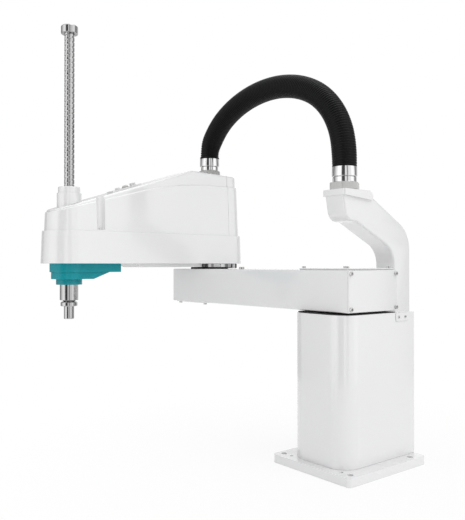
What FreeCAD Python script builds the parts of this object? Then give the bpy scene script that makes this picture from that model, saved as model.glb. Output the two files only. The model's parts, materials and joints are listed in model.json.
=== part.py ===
import FreeCAD, Part
import math
import operator
import os

import Sketcher

# Driving dimensions
# The frame: X points to the robot's front, Z up, and the origin is where the
# first joint's axis meets the floor. At rest arm 1 points along -Y and arm 2
# along +X. Lengths are in millimetres, angles in degrees.
SIZES = {
    # Reach of the two arms, axis to axis
    "arm_1_reach": 650,
    "arm_2_reach": 550,
    # Base plate
    "plate_front": 148,
    "plate_rear": 182,
    "plate_half_width": 146,
    "plate_thickness": 24.5,
    "plate_corner": 12,
    "anchor_pitch_x": 256,
    "anchor_pitch_y": 250,
    "anchor_centre_x": -7,
    "anchor_hole_radius": 9,
    "dowel_x": 121,
    "dowel_pitch_y": 190,
    "dowel_radius": 5,
    # Pedestal
    "pedestal_front": 120,
    "pedestal_rear": 184,
    "pedestal_half_width": 105.4,
    "pedestal_top": 437.6,
    "pedestal_corner": 55.7,
    "pedestal_wall": 8,
    "pedestal_lid": 16,
    # Connector panel on the pedestal's rear
    "panel_bottom": 60,
    "panel_height": 160,
    "panel_half_width": 80,
    "panel_thickness": 3.5,
    "panel_overlap": 12,
    "plug_depth": 26,
    "plug_width": 50,
    "plug_height": 44,
    "round_plug_radius": 19,
    "fitting_radius": 6,
    "fitting_length": 22,
    "fitting_pitch": 32,
    # Cable duct that rises behind the pedestal and bends over the first axis
    "duct_half_width": 36,
    "duct_depth": 78,
    "duct_foot": 330,
    "duct_wall": 6,
    "duct_inner_bend": 616.5,
    "duct_outer_bend": 674,
    "duct_inner_bend_radius": 68,
    "duct_outer_bend_radius": 90,
    "duct_chin_drop": 73.6,
    "duct_chin_start": 12,
    "duct_chin_front": 31,
    "duct_chin_radius": 36,
    "duct_front": 45,
    "duct_edge_radius": 7,
    "duct_port_half_width": 26,
    "duct_port_bottom": 345,
    "duct_port_top": 415,
    "foot_flange_half_width": 54,
    "foot_flange_top": 428,
    "foot_flange_thickness": 9,
    # Plate on the duct's head
    "collar_front": 48,
    "collar_rear": 75,
    "collar_half_width": 44,
    "collar_top": 789,
    "collar_front_bottom": 771,
    "collar_rear_bottom": 761,
    "collar_corner": 9,
    "collar_rear_chamfer": 12,
    # Small plate on the pedestal's side
    "tab_front": -96,
    "tab_rear": -149,
    "tab_drop": 24.6,
    "tab_height": 23,
    "tab_thickness": 3,
    # Screws
    "screw_head_radius": 5.6,
    "screw_head_height": 3.3,
    "cap_screw_height": 5.5,
    "small_head_radius": 4.2,
    "small_head_height": 2.6,
    # Arm 1
    "arm_1_above_pedestal": 6.4,
    "arm_1_height": 115.6,
    "arm_1_half_width": 103.2,
    "arm_1_back": 105.6,
    "arm_1_tip": 87.1,
    "arm_1_wall": 8,
    "arm_1_corner": 6,
    "arm_1_edge": 3,
    "end_cover_thickness": 5,
    "end_cover_overlap": 14,
    "end_screw_inset": 7,
    "top_cover_margin": 4,
    "top_cover_start": -86,
    "top_cover_end": 97,
    "top_cover_thickness": 3.2,
    "gasket_thickness": 1.6,
    "gasket_inset": 2,
    "gasket_width": 12,
    "belly_half_width": 92,
    "belly_start": 94,
    "belly_end": 76,
    "belly_thickness": 3,
    "belly_overlap": 12,
    "stud_x": 80,
    "stud_y": -369,
    "stud_radius": 8.5,
    "stud_height": 7.5,
    # First joint: reducer in the pedestal, flange under arm 1, motor below
    "running_gap": 0.3,
    "shaft_play": 0.05,
    "first_reducer_radius": 62,
    "first_seal_reach": 100,
    "first_seal_inset": 3,
    "first_seal_height": 2,
    "first_reducer_rim": 78,
    "first_reducer_depth": 52,
    "first_flange_radius": 56,
    "first_shaft_radius": 32,
    "first_shaft_depth": 46,
    "first_motor_half_width": 43,
    "first_motor_length": 130,
    "motor_edge": 7,
    # Second joint
    "second_reducer_radius": 60,
    "second_reducer_rim": 72,
    "second_reducer_rim_height": 12,
    "second_reducer_depth": 54,
    "seal_radius": 68,
    "seal_bore": 44,
    "seal_height": 5.6,
    "second_flange_radius": 78,
    "second_shaft_radius": 30,
    "second_shaft_depth": 44,
    "second_motor_half_width": 42,
    "second_motor_length": 134,
    # Arm 2 housing
    "second_flange_thickness": 12.4,
    "housing_height": 100.9,
    "housing_nose": 86,
    "housing_back": 105,
    "housing_corner": 50,
    "housing_draft": 2,
    "housing_wall": 12,
    "housing_floor": 8,
    "keel_start": 80,
    "keel_ramp": 29,
    "keel_to_tail": 42,
    "keel_half_width": 62,
    "keel_depth": 12,
    # Arm 2 cover
    "cover_step": 10,
    "cover_draft": 2.5,
    "cover_wall": 4,
    "shoulder_inset": 5,
    "rear_cover_seam": -31,
    "rear_cover_gap": 0.4,
    "nose_rise": 59.2,
    "slope_foot_x": 590,
    "slope_foot_rise": 13,
    "slope_head_x": 118,
    "slope_rise": 152,
    "back_drop": 9,
    "shoulder_foot_drop": 5,
    "shoulder_knee_x": 187,
    "shoulder_drop": 46,
    "shoulder_bend": 1240,
    "pocket_x": 478,
    "pocket_radius": 13.5,
    "pocket_flare": 18,
    "pocket_floor": 5.2,
    "pocket_wall": 3.5,
    # Tower round the screw shaft
    "tower_radius": 38,
    "tower_bore": 20,
    "tower_start": 38,
    "tower_rise": 60,
    "tower_cap_radius": 34.3,
    "tower_cap_height": 19,
    "wiper_bore": 17,
    # Screw shaft and its collars
    "shaft_radius": 16,
    "shaft_bore": 5.5,
    "shaft_below": 107,
    "shaft_above": 509,
    "shaft_chamfer": 1.5,
    "tool_seat_radius": 15.8,
    "top_collar_radius": 26.5,
    "top_collar_height": 25,
    "shaft_end": 2,
    "bottom_collar_radius": 26,
    "bottom_collar_gap": 4.7,
    "bottom_collar_height": 14.1,
    "collar_chamfer": 3,
    # Rotating sleeve and the pulley that turns it
    "sleeve_radius": 28.5,
    "sleeve_below": 48.5,
    "sleeve_shoulder_depth": 32.9,
    "sleeve_neck": 22,
    "sleeve_above": 14.1,
    "sleeve_pulley_radius": 42,
    "sleeve_pulley_depth": 20.9,
    "pulley_width": 18,
    "sleeve_motor_offset": 120,
    "sleeve_motor_pulley_radius": 22,
    "sleeve_motor_shaft": 7,
    "sleeve_motor_half_width": 27,
    "sleeve_motor_length": 112,
    "bearing_radius": 40,
    "bearing_height": 12,
    # Ball nut, its pulley, its motor and the bridge that carries them
    "nut_radius": 28,
    "nut_lift": 18.1,
    "nut_height": 76,
    "nut_pulley_radius": 46,
    "nut_pulley_lift": 42.1,
    "lift_motor_offset": 230,
    "lift_motor_pulley_radius": 30,
    "lift_motor_shaft": 9,
    "lift_motor_half_width": 40,
    "lift_motor_headroom": 31,
    "bridge_lift": 74.1,
    "bridge_thickness": 8,
    "bridge_half_width": 62,
    "bridge_reach": 288,
    "bridge_post_radius": 5,
    "bridge_post_inset": 8,
    "nut_bearing_radius": 42,
    "belt_thickness": 3,
    "belt_width": 14,
    # Painted housing under the nose
    "bell_radius": 59.6,
    "bell_depth": 26.9,
    "bell_cavity": 50,
    "bell_cavity_height": 22,
    "bell_step_radius": 55,
    "bell_step_depth": 21.5,
    "bell_neck_radius": 40,
    "bell_neck_depth": 17.5,
    "bell_bore": 28.9,
    "tail_length": 156,
    "tail_half_width": 56,
    "tail_corner": 8,
    "tail_wall": 6,
    "tail_ramp_far": 115,
    "tail_ramp_near": 60,
    "tail_ramp_half_width": 50,
    # Stop under the back of arm 2
    "stop_start": 79.5,
    "stop_length": 14,
    "stop_width": 30,
    "stop_height": 15.9,
    "stop_offset": 20,
    "bumper_length": 7,
    # Small panel on the slope of the cover
    "panel_x": 355,
    "slope_plate_length": 110,
    "slope_plate_width": 44,
    "slope_plate_thickness": 4,
    "button_radius": 8,
    "button_play": 0.4,
    "button_place": 25,
    "button_bottom": 3.3,
    "button_height": 6,
    "lamp_radius": 10,
    "lamp_place": -5,
    "lamp_height": 7.5,
    "coupler_radius": 5,
    "coupler_place": -35,
    "coupler_spread": 20,
    "coupler_height": 8,
    # Hose connectors and hose
    "hose_radius": 36.5,
    "connector_bore": 27,
    "swivel_neck": 31,
    "swivel_groove": 1,
    "base_nut_flats": 77,
    "base_nut_height": 22.5,
    "base_socket_radius": 35,
    "base_socket_height": 15.8,
    "base_ferrule_radius": 36.7,
    "base_ferrule_height": 28.4,
    "seat_radius": 41,
    "seat_rise": 2.8,
    "arm_nut_flats": 66,
    "arm_nut_height": 16.9,
    "arm_socket_radius": 31.8,
    "arm_socket_height": 14.3,
    "arm_ferrule_radius": 35.5,
    "arm_ferrule_height": 28.2,
}

doc = FreeCAD.newDocument("scara_robot")
sheet = doc.addObject("Spreadsheet::Sheet", "Sizes")
for row, (name, number) in enumerate(SIZES.items(), start=1):
    sheet.set("A%d" % row, str(number))
    sheet.setAlias("A%d" % row, name)
doc.recompute()

OPERATIONS = {"+": operator.add, "-": operator.sub, "*": operator.mul, "/": operator.truediv}


class Size:
    """A length together with the formula that gives it from the sheet."""

    def __init__(self, value, text):
        self.value = float(value)
        self.text = text

    def __add__(self, other):
        return combined(self, "+", other)

    def __radd__(self, other):
        return combined(other, "+", self)

    def __sub__(self, other):
        return combined(self, "-", other)

    def __rsub__(self, other):
        return combined(other, "-", self)

    def __mul__(self, other):
        return combined(self, "*", other)

    def __rmul__(self, other):
        return combined(other, "*", self)

    def __truediv__(self, other):
        return combined(self, "/", other)

    def __neg__(self):
        return combined(0, "-", self)


def as_size(number):
    if isinstance(number, Size):
        return number
    return Size(number, "(%r)" % float(number))


def combined(left, sign, right):
    left, right = as_size(left), as_size(right)
    value = OPERATIONS[sign](left.value, right.value)
    return Size(value, "(%s %s %s)" % (left.text, sign, right.text))


class Sheet:
    """The named sizes, read back from the sheet's cells."""


s = Sheet()
for name in SIZES:
    setattr(s, name, Size(sheet.get(name), "Sizes." + name))


# Helpers that make a piece and bind its sizes to the sheet
def bind(thing, **sizes):
    for name, size in sizes.items():
        thing.setExpression(name, as_size(size).text)
    return thing


def place(thing, x=0, y=0, z=0):
    for axis, size in zip("xyz", (x, y, z)):
        thing.setExpression("Placement.Base." + axis, as_size(size).text)
    return thing


def turn(thing, axis, degrees):
    thing.Placement = FreeCAD.Placement(FreeCAD.Vector(), FreeCAD.Rotation(FreeCAD.Vector(*axis), degrees))
    return thing


def block(name, x, y, z):
    """A box, given by its low and high side along each axis."""
    piece = doc.addObject("Part::Box", name)
    bind(piece, Length=x[1] - x[0], Width=y[1] - y[0], Height=z[1] - z[0])
    return place(piece, x[0], y[0], z[0])


def rod(name, radius, z, x=0, y=0):
    """An upright cylinder between two heights."""
    piece = doc.addObject("Part::Cylinder", name)
    bind(piece, Radius=radius, Height=z[1] - z[0])
    return place(piece, x, y, z[0])


def lying_rod(name, radius, length, axis, degrees, x, y, z):
    """A cylinder that points along the turned axis from its place."""
    piece = doc.addObject("Part::Cylinder", name)
    bind(piece, Radius=radius, Height=length)
    turn(piece, axis, degrees)
    return place(piece, x, y, z)


def tube(name, radius, bore, z, x=0, y=0):
    return cut(name, rod(name + "_outside", radius, z, x, y), rod(name + "_bore", bore, z, x, y))


def fused(name, *pieces):
    whole = doc.addObject("Part::MultiFuse", name)
    whole.Shapes = list(pieces)
    return whole


def group(name, *pieces):
    """Separate solids that share one name."""
    together = doc.addObject("Part::Compound", name)
    together.Links = list(pieces)
    return together


def cut(name, base, *tools):
    result = doc.addObject("Part::Cut", name)
    result.Base = base
    result.Tool = tools[0] if len(tools) == 1 else fused(name + "_tools", *tools)
    return result


def common(name, first, second):
    result = doc.addObject("Part::Common", name)
    result.Base = first
    result.Tool = second
    return result


def new_sketch(body, plane):
    sketch = body.newObject("Sketcher::SketchObject", body.Name + "_sketch")
    support = next(part for part in body.Origin.OriginFeatures if part.Role == plane)
    sketch.AttachmentSupport = [(support, "")]
    sketch.MapMode = "FlatFace"
    return sketch


def hold(sketch, kind, *places, size):
    """Adds a constraint whose value comes from the sheet."""
    size = as_size(size)
    number = sketch.addConstraint(Sketcher.Constraint(kind, *places, size.value))
    sketch.setExpression("Constraints[%d]" % number, size.text)


def polygon(sketch, points):
    """A closed outline whose corners are held by their distances from the origin."""
    points = [(as_size(x), as_size(y)) for x, y in points]
    corners = [FreeCAD.Vector(x.value, y.value, 0) for x, y in points]
    for start, end in zip(corners, corners[1:] + corners[:1]):
        sketch.addGeometry(Part.LineSegment(start, end))
    for number, (x, y) in enumerate(points):
        before = (number - 1) % len(points)
        sketch.addConstraint(Sketcher.Constraint("Coincident", before, 2, number, 1))
        hold(sketch, "DistanceX", -1, 1, number, 1, size=x)
        hold(sketch, "DistanceY", -1, 1, number, 1, size=y)


def turned(name, points, x=0, y=0):
    """A round piece about an upright axis, from its half section of radius and height."""
    body = doc.addObject("PartDesign::Body", name)
    sketch = new_sketch(body, "XZ_Plane")
    polygon(sketch, points)
    spin = body.newObject("PartDesign::Revolution", name + "_spin")
    spin.Profile = sketch
    spin.ReferenceAxis = (sketch, ["V_Axis"])
    spin.Angle = 360
    return place(body, x, y)


def padded(name, plane, points, length, middle=False):
    """A prism on an outline, on one side of the plane or on both."""
    body = doc.addObject("PartDesign::Body", name)
    sketch = new_sketch(body, plane)
    polygon(sketch, points)
    pad = body.newObject("PartDesign::Pad", name + "_pad")
    pad.Profile = sketch
    pad.SideType = "Symmetric" if middle else "One side"
    return body, bind(pad, Length=length)


def rounded(body, radius, wanted):
    """Rounds the edges of a body that a test picks."""
    doc.recompute()
    base = body.Tip
    edges = ["Edge%d" % number for number, edge in enumerate(base.Shape.Edges, start=1) if wanted(edge)]
    fillet = body.newObject("PartDesign::Fillet", body.Name + "_round")
    fillet.Base = (base, edges)
    return bind(fillet, Radius=radius)


def upright(edge):
    first, last = edge.Vertexes[0].Point, edge.Vertexes[-1].Point
    return abs(first.z - last.z) > 1 and math.hypot(first.x - last.x, first.y - last.y) < 1e-6


def middle_near(x=None, y=None, z=None):
    """A test for edges whose middle lies at the given coordinates."""
    def test(edge):
        middle = edge.CenterOfMass
        wanted = ((middle.x, x), (middle.y, y), (middle.z, z))
        return all(size is None or abs(found - as_size(size).value) < 0.01 for found, size in wanted)
    return test


def rectangle(x, y):
    return [(x[0], y[0]), (x[1], y[0]), (x[1], y[1]), (x[0], y[1])]


def hexagon(name, flats, z, bore, x=0, y=0):
    """A nut whose flats face the front and the rear."""
    prism = doc.addObject("Part::Prism", name + "_prism")
    prism.Polygon = 6
    bind(prism, Circumradius=flats / math.sqrt(3), Height=z[1] - z[0])
    turn(prism, (0, 0, 1), 30)
    place(prism, x, y, z[0])
    return cut(name, prism, rod(name + "_bore", bore, z, x, y))


def motor(name, half_width, z, x, y):
    """A square servo motor that stands upright, with rounded long edges."""
    sides = rectangle((x - half_width, x + half_width), (y - half_width, y + half_width))
    body, _ = padded(name, "XY_Plane", sides, z[1] - z[0])
    rounded(body, s.motor_edge, upright)
    return place(body, z=z[0])


def button_head(name, radius, height, x, y, z, axis=(0, 0, 1), degrees=0):
    """A screw head with a hexagonal recess, seated at a place and pointing along the turned axis."""
    head = lying_rod(name + "_head", radius, height, axis, degrees, x, y, z)
    recess = doc.addObject("Part::Prism", name + "_recess")
    recess.Polygon = 6
    bind(recess, Circumradius=radius / 2, Height=height)
    turn(recess, axis, degrees)
    lift = {(0, 0, 1): (0, 0, 1), (1, 0, 0): (0, -1, 0), (0, 1, 0): (1, 0, 0)}[axis]
    if degrees == 180:
        lift = (0, 0, -1)
    if degrees == -90:
        lift = tuple(-part for part in lift)
    shift = height / 2
    place(recess, x + shift * lift[0], y + shift * lift[1], z + shift * lift[2])
    return cut(name, head, recess)


# Places that several pieces share
second_y = -s.arm_1_reach
shaft_x = s.arm_2_reach
sleeve_motor_x = shaft_x - s.sleeve_motor_offset
lift_motor_x = shaft_x - s.lift_motor_offset
bridge_start = shaft_x - s.bridge_reach
tail_end = shaft_x - s.tail_length
keel_toe = tail_end - s.keel_to_tail
keel_end = keel_toe - s.keel_ramp
arm_1_bottom = s.pedestal_top + s.arm_1_above_pedestal
arm_1_top = arm_1_bottom + s.arm_1_height
plate_top = s.plate_thickness
pedestal_back = -s.pedestal_rear
tab_bottom = s.pedestal_top - s.tab_drop
chin_height = s.collar_front_bottom - s.duct_chin_drop
seal_top = arm_1_top + s.seal_height
second_flange_bottom = seal_top + s.running_gap
arm_2_bottom = second_flange_bottom + s.second_flange_thickness
parting_height = arm_2_bottom + s.housing_height
nose_top = parting_height + s.nose_rise
slope_foot_height = nose_top + s.slope_foot_rise
slope_head_height = slope_foot_height + s.slope_rise
back_height = slope_head_height - s.back_drop
shoulder_height = slope_head_height - s.shoulder_drop
tower_top = nose_top + s.tower_rise
slope_run = s.slope_foot_x - s.slope_head_x


def height_on_slope(x):
    return slope_foot_height + s.slope_rise * (s.slope_foot_x - x) / slope_run


# Base plate: bolted to the floor or a stand through four holes, with two dowel holes at the front
def make_base_plate():
    outline = rectangle((-s.plate_rear, s.plate_front), (-s.plate_half_width, s.plate_half_width))
    body, _ = padded("base_plate", "XY_Plane", outline, s.plate_thickness)
    rounded(body, s.plate_corner, upright)
    holes = new_sketch(body, "XY_Plane")
    places = [(s.anchor_centre_x + end * s.anchor_pitch_x / 2, side * s.anchor_pitch_y / 2, s.anchor_hole_radius)
              for end in (-1, 1) for side in (-1, 1)]
    places += [(s.dowel_x, side * s.dowel_pitch_y / 2, s.dowel_radius) for side in (-1, 1)]
    for number, (x, y, radius) in enumerate(places):
        centre = FreeCAD.Vector(x.value, y.value, 0)
        holes.addGeometry(Part.Circle(centre, FreeCAD.Vector(0, 0, 1), radius.value))
        hold(holes, "DistanceX", -1, 1, number, 3, size=x)
        hold(holes, "DistanceY", -1, 1, number, 3, size=y)
        hold(holes, "Radius", number, size=radius)
    pocket = body.newObject("PartDesign::Pocket", "anchor_holes")
    pocket.Profile = holes
    pocket.Type = "ThroughAll"
    pocket.Reversed = True
    return body


# Pedestal: a hollow column with large rounded front corners
def pedestal_block(name, inset, z):
    sides = rectangle((-s.pedestal_rear + inset, s.pedestal_front - inset),
                      (-s.pedestal_half_width + inset, s.pedestal_half_width - inset))
    body, _ = padded(name, "XY_Plane", sides, z[1] - z[0])
    front = middle_near(x=s.pedestal_front - inset)
    rounded(body, s.pedestal_corner - inset, lambda edge: upright(edge) and front(edge))
    return place(body, z=z[0])


def make_pedestal():
    outside = pedestal_block("pedestal_outside", 0, (plate_top, s.pedestal_top))
    inside = pedestal_block("pedestal_inside", s.pedestal_wall, (plate_top, s.pedestal_top - s.pedestal_lid))
    bore = rod("pedestal_bore", s.first_reducer_radius, (s.pedestal_top - s.pedestal_lid, s.pedestal_top))
    back_wall = (pedestal_back, pedestal_back + s.pedestal_wall)
    window_half = s.panel_half_width - s.panel_overlap
    window = block("panel_window", back_wall, (-window_half, window_half),
                   (s.panel_bottom + s.panel_overlap, s.panel_bottom + s.panel_height - s.panel_overlap))
    port = block("pedestal_port", back_wall, (-s.duct_port_half_width, s.duct_port_half_width),
                 (s.duct_port_bottom, s.duct_port_top))
    return cut("pedestal_column", outside, inside, bore, window, port)


# Connector panel with the robot's power, signal and air connections
panel_face = pedestal_back - s.panel_thickness


def make_rear_panel():
    return block("rear_panel", (panel_face, pedestal_back), (-s.panel_half_width, s.panel_half_width),
                 (s.panel_bottom, s.panel_bottom + s.panel_height))


def make_power_connector():
    middle_y = s.panel_half_width / 2
    middle_z = s.panel_bottom + s.panel_height * 0.68
    outside = block("power_outside", (panel_face - s.plug_depth, panel_face),
                    (middle_y - s.plug_width / 2, middle_y + s.plug_width / 2),
                    (middle_z - s.plug_height / 2, middle_z + s.plug_height / 2))
    mouth = block("power_mouth", (panel_face - s.plug_depth, panel_face - s.plug_depth / 2),
                  (middle_y - s.plug_width / 2 + s.tab_thickness, middle_y + s.plug_width / 2 - s.tab_thickness),
                  (middle_z - s.plug_height / 2 + s.tab_thickness, middle_z + s.plug_height / 2 - s.tab_thickness))
    return cut("power_connector", outside, mouth)


def make_signal_connector():
    y = -s.panel_half_width / 2
    z = s.panel_bottom + s.panel_height * 0.68
    outside = lying_rod("signal_outside", s.round_plug_radius, s.plug_depth, (0, 1, 0), -90, panel_face, y, z)
    mouth = lying_rod("signal_mouth", s.round_plug_radius - s.tab_thickness, s.plug_depth / 2, (0, 1, 0), -90,
                      panel_face - s.plug_depth / 2, y, z)
    return cut("signal_connector", outside, mouth)


def make_air_fittings():
    fittings = []
    for number in (-1, 0, 1):
        place_of = (panel_face, number * s.fitting_pitch, s.panel_bottom + s.panel_height / 4)
        outside = lying_rod("fitting_outside", s.fitting_radius, s.fitting_length, (0, 1, 0), -90, *place_of)
        mouth = lying_rod("fitting_mouth", s.fitting_radius / 2, s.fitting_length, (0, 1, 0), -90,
                          panel_face - s.fitting_length / 2, place_of[1], place_of[2])
        fittings.append(cut("fitting", outside, mouth))
    return group("air_fittings", *fittings)


# Cable duct: a hollow gooseneck that carries the hose's connector over the first axis
def make_cable_duct():
    front, rear = pedestal_back, pedestal_back - s.duct_depth
    collar_slope = (s.collar_front_bottom - s.collar_rear_bottom) / (s.collar_front + s.collar_rear)
    head_front = s.collar_front_bottom - collar_slope * (s.collar_front - s.duct_front)
    outline = [(front, s.duct_foot), (front, s.duct_inner_bend), (-s.duct_chin_start, chin_height),
               (s.duct_chin_front, chin_height), (s.duct_front, head_front),
               (-s.collar_rear, s.collar_rear_bottom), (-s.collar_rear, s.collar_top - s.collar_rear_chamfer),
               (rear, s.duct_outer_bend), (rear, s.duct_foot)]
    body, _ = padded("duct_outside", "XZ_Plane", outline, 2 * s.duct_half_width, middle=True)
    rounded(body, s.duct_inner_bend_radius, middle_near(x=front, z=s.duct_inner_bend))
    rounded(body, s.duct_outer_bend_radius, middle_near(x=rear, z=s.duct_outer_bend))
    rounded(body, s.duct_chin_radius, middle_near(x=s.duct_chin_front, z=chin_height))
    rounded(body, s.duct_chin_radius, middle_near(x=-s.duct_chin_start, z=chin_height))
    head = (s.collar_front_bottom + s.collar_rear_bottom) / 2
    half_width, foot, step = s.duct_half_width.value, s.duct_foot.value, -s.collar_rear.value

    def long_edge(edge):
        middle = edge.CenterOfMass
        on_side = abs(abs(middle.y) - half_width) < 0.01
        at_head = abs(middle.z - head.value) < s.collar_front_bottom.value - head.value and middle.x > step + 1
        return on_side and not at_head and middle.z > foot + 1 and abs(middle.x - step) > 0.5

    rounded(body, s.duct_edge_radius, long_edge)
    wall = s.duct_wall
    room_outline = [(front - wall, s.duct_foot + wall), (front - wall, s.duct_inner_bend + wall * 0.65),
                    (-s.duct_chin_start, chin_height + wall), (s.duct_chin_front - wall, chin_height + wall),
                    (s.duct_front - wall, s.collar_front_bottom + wall),
                    (-s.collar_rear + wall, s.collar_front_bottom + wall),
                    (-s.collar_rear + wall, s.collar_rear_bottom - wall), (rear + wall, s.duct_outer_bend - wall * 0.6),
                    (rear + wall, s.duct_foot + wall)]
    inside, _ = padded("duct_inside", "XZ_Plane", room_outline, 2 * (s.duct_half_width - wall), middle=True)
    rounded(inside, s.duct_inner_bend_radius + wall, middle_near(x=front - wall, z=s.duct_inner_bend + wall * 0.65))
    rounded(inside, s.duct_outer_bend_radius - wall, middle_near(x=rear + wall, z=s.duct_outer_bend - wall * 0.6))
    rounded(inside, s.duct_chin_radius - wall, middle_near(x=s.duct_chin_front - wall, z=chin_height + wall))
    flange = block("duct_flange", (front - s.foot_flange_thickness, front),
                   (-s.foot_flange_half_width, s.foot_flange_half_width), (s.duct_foot, s.foot_flange_top))
    port = block("duct_port", (front - s.foot_flange_thickness, front),
                 (-s.duct_port_half_width, s.duct_port_half_width), (s.duct_port_bottom, s.duct_port_top))
    return cut("cable_duct", fused("duct_with_flange", body, flange), inside, port)


def make_duct_collar():
    chamfer = s.collar_rear_chamfer
    outline = [(s.collar_front, s.collar_front_bottom), (s.collar_front, s.collar_top),
               (-s.collar_rear + chamfer, s.collar_top), (-s.collar_rear, s.collar_top - chamfer),
               (-s.collar_rear, s.collar_rear_bottom)]
    body, _ = padded("collar_outside", "XZ_Plane", outline, 2 * s.collar_half_width, middle=True)
    rounded(body, s.collar_corner, lambda line: upright(line) and line.CenterOfMass.x > 0)
    bore = rod("collar_bore", s.connector_bore, (s.collar_rear_bottom, s.collar_top))
    return cut("duct_collar", body, bore)


# Small plate with two screws on the pedestal's side
def make_side_tab():
    return block("side_tab", (s.tab_rear, s.tab_front),
                 (s.pedestal_half_width, s.pedestal_half_width + s.tab_thickness),
                 (tab_bottom, tab_bottom + s.tab_height))


def make_base_screws():
    heads = []
    small = (s.small_head_radius, s.small_head_height)
    inset = s.panel_overlap / 2
    for side in (-1, 1):
        for z in (s.panel_bottom + inset, s.panel_bottom + s.panel_height - inset):
            heads.append(button_head("panel_screw", *small, panel_face, side * (s.panel_half_width - inset), z,
                                     axis=(0, 1, 0), degrees=-90))
        for z in (s.duct_port_bottom, s.duct_port_top):
            y = side * (s.duct_half_width + s.foot_flange_half_width) / 2
            heads.append(button_head("flange_screw", *small, pedestal_back - s.foot_flange_thickness, y, z,
                                     axis=(0, 1, 0), degrees=-90))
    for x in (s.tab_front - s.tab_height / 2, s.tab_rear + s.tab_height / 2):
        heads.append(button_head("tab_screw", *small, x, s.pedestal_half_width + s.tab_thickness,
                                 tab_bottom + s.tab_height / 2, axis=(1, 0, 0), degrees=-90))
    return group("base_screws", *heads)


# First joint
first_reducer_bottom = s.pedestal_top - s.first_reducer_depth


def make_first_reducer():
    rim_top = s.pedestal_top - s.pedestal_lid
    bore = s.first_shaft_radius + s.shaft_play
    return turned("first_reducer", [
        (bore, first_reducer_bottom), (s.first_reducer_rim, first_reducer_bottom),
        (s.first_reducer_rim, rim_top), (s.first_reducer_radius, rim_top),
        (s.first_reducer_radius, s.pedestal_top), (bore, s.pedestal_top)])


# Dark seal plate on the pedestal, round the flange that carries arm 1
def make_pedestal_seal():
    inset = s.first_seal_inset
    half_width = s.pedestal_half_width - inset
    sides = rectangle((-s.first_seal_reach, s.pedestal_front - inset), (-half_width, half_width))
    body, _ = padded("seal_outside", "XY_Plane", sides, s.first_seal_height)
    rounded(body, s.pedestal_corner - inset, lambda edge: upright(edge) and edge.CenterOfMass.x > 0)
    place(body, z=s.pedestal_top)
    hole = rod("seal_hole", s.first_reducer_radius, (s.pedestal_top, s.pedestal_top + s.first_seal_height))
    return cut("pedestal_seal", body, hole)


def make_first_flange():
    flange_bottom = s.pedestal_top + s.running_gap
    shaft_bottom = s.pedestal_top - s.first_shaft_depth
    return turned("first_flange", [
        (0, shaft_bottom), (s.first_shaft_radius, shaft_bottom), (s.first_shaft_radius, flange_bottom),
        (s.first_flange_radius, flange_bottom), (s.first_flange_radius, arm_1_bottom), (0, arm_1_bottom)])


def make_first_motor():
    span = (first_reducer_bottom - s.first_motor_length, first_reducer_bottom)
    return motor("first_motor", s.first_motor_half_width, span, 0, 0)


# Arm 1: a hollow box casting with a cover on top, at its back end and below the second joint
def make_arm_1_casting():
    half = s.arm_1_half_width
    back = s.arm_1_back - s.end_cover_thickness
    tip = second_y - s.arm_1_tip
    body, _ = padded("arm_1_outside", "XY_Plane", rectangle((-half, half), (tip, back)), s.arm_1_height)
    at_tip = middle_near(y=tip)
    rounded(body, s.arm_1_corner, lambda edge: upright(edge) and at_tip(edge))
    at_back = middle_near(y=back)
    rounded(body, s.arm_1_edge, lambda edge: not upright(edge) and not at_back(edge))
    place(body, z=arm_1_bottom)
    wall = s.arm_1_wall
    low, high = arm_1_bottom + wall, arm_1_top - wall
    inside = block("arm_1_inside", (-half + wall, half - wall), (tip + wall, back - wall), (low, high))
    end_window = block("end_window", (-half + s.end_cover_overlap, half - s.end_cover_overlap), (back - wall, back),
                       (arm_1_bottom + s.end_cover_overlap, arm_1_top - s.end_cover_overlap))
    rim = s.top_cover_margin + s.gasket_inset + s.gasket_width
    top_window = block("top_window", (-half + rim, half - rim),
                       (s.top_cover_start + rim, s.top_cover_end - rim), (high, arm_1_top))
    belly_room = s.belly_half_width - s.belly_overlap
    belly = block("belly_window", (-belly_room, belly_room),
                  (second_y - s.belly_end + s.belly_overlap, second_y + s.belly_start - s.belly_overlap),
                  (arm_1_bottom, low))
    reducer_bore = rod("second_reducer_bore", s.second_reducer_radius, (high, arm_1_top), 0, second_y)
    return cut("arm_1_casting", body, inside, end_window, top_window, belly, reducer_bore)


def make_end_cover():
    half = s.arm_1_half_width
    sides = rectangle((-half, half), (s.arm_1_back - s.end_cover_thickness, s.arm_1_back))
    body, _ = padded("arm_1_end_cover", "XY_Plane", sides, s.arm_1_height)
    at_back = middle_near(y=s.arm_1_back)
    rounded(body, s.arm_1_edge, at_back)
    return place(body, z=arm_1_bottom)


top_cover_half = s.arm_1_half_width - s.top_cover_margin
top_cover_bottom = arm_1_top + s.gasket_thickness


def make_top_gasket():
    inset, width = s.gasket_inset, s.gasket_width
    z = (arm_1_top, top_cover_bottom)
    outer = block("gasket_outside", (-top_cover_half + inset, top_cover_half - inset),
                  (s.top_cover_start + inset, s.top_cover_end - inset), z)
    rim = inset + width
    inner = block("gasket_inside", (-top_cover_half + rim, top_cover_half - rim),
                  (s.top_cover_start + rim, s.top_cover_end - rim), z)
    return cut("arm_1_gasket", outer, inner)


def make_top_cover():
    return block("arm_1_top_cover", (-top_cover_half, top_cover_half), (s.top_cover_start, s.top_cover_end),
                 (top_cover_bottom, top_cover_bottom + s.top_cover_thickness))


def make_belly_cover():
    return block("arm_1_belly_cover", (-s.belly_half_width, s.belly_half_width),
                 (second_y - s.belly_end, second_y + s.belly_start),
                 (arm_1_bottom - s.belly_thickness, arm_1_bottom))


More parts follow.
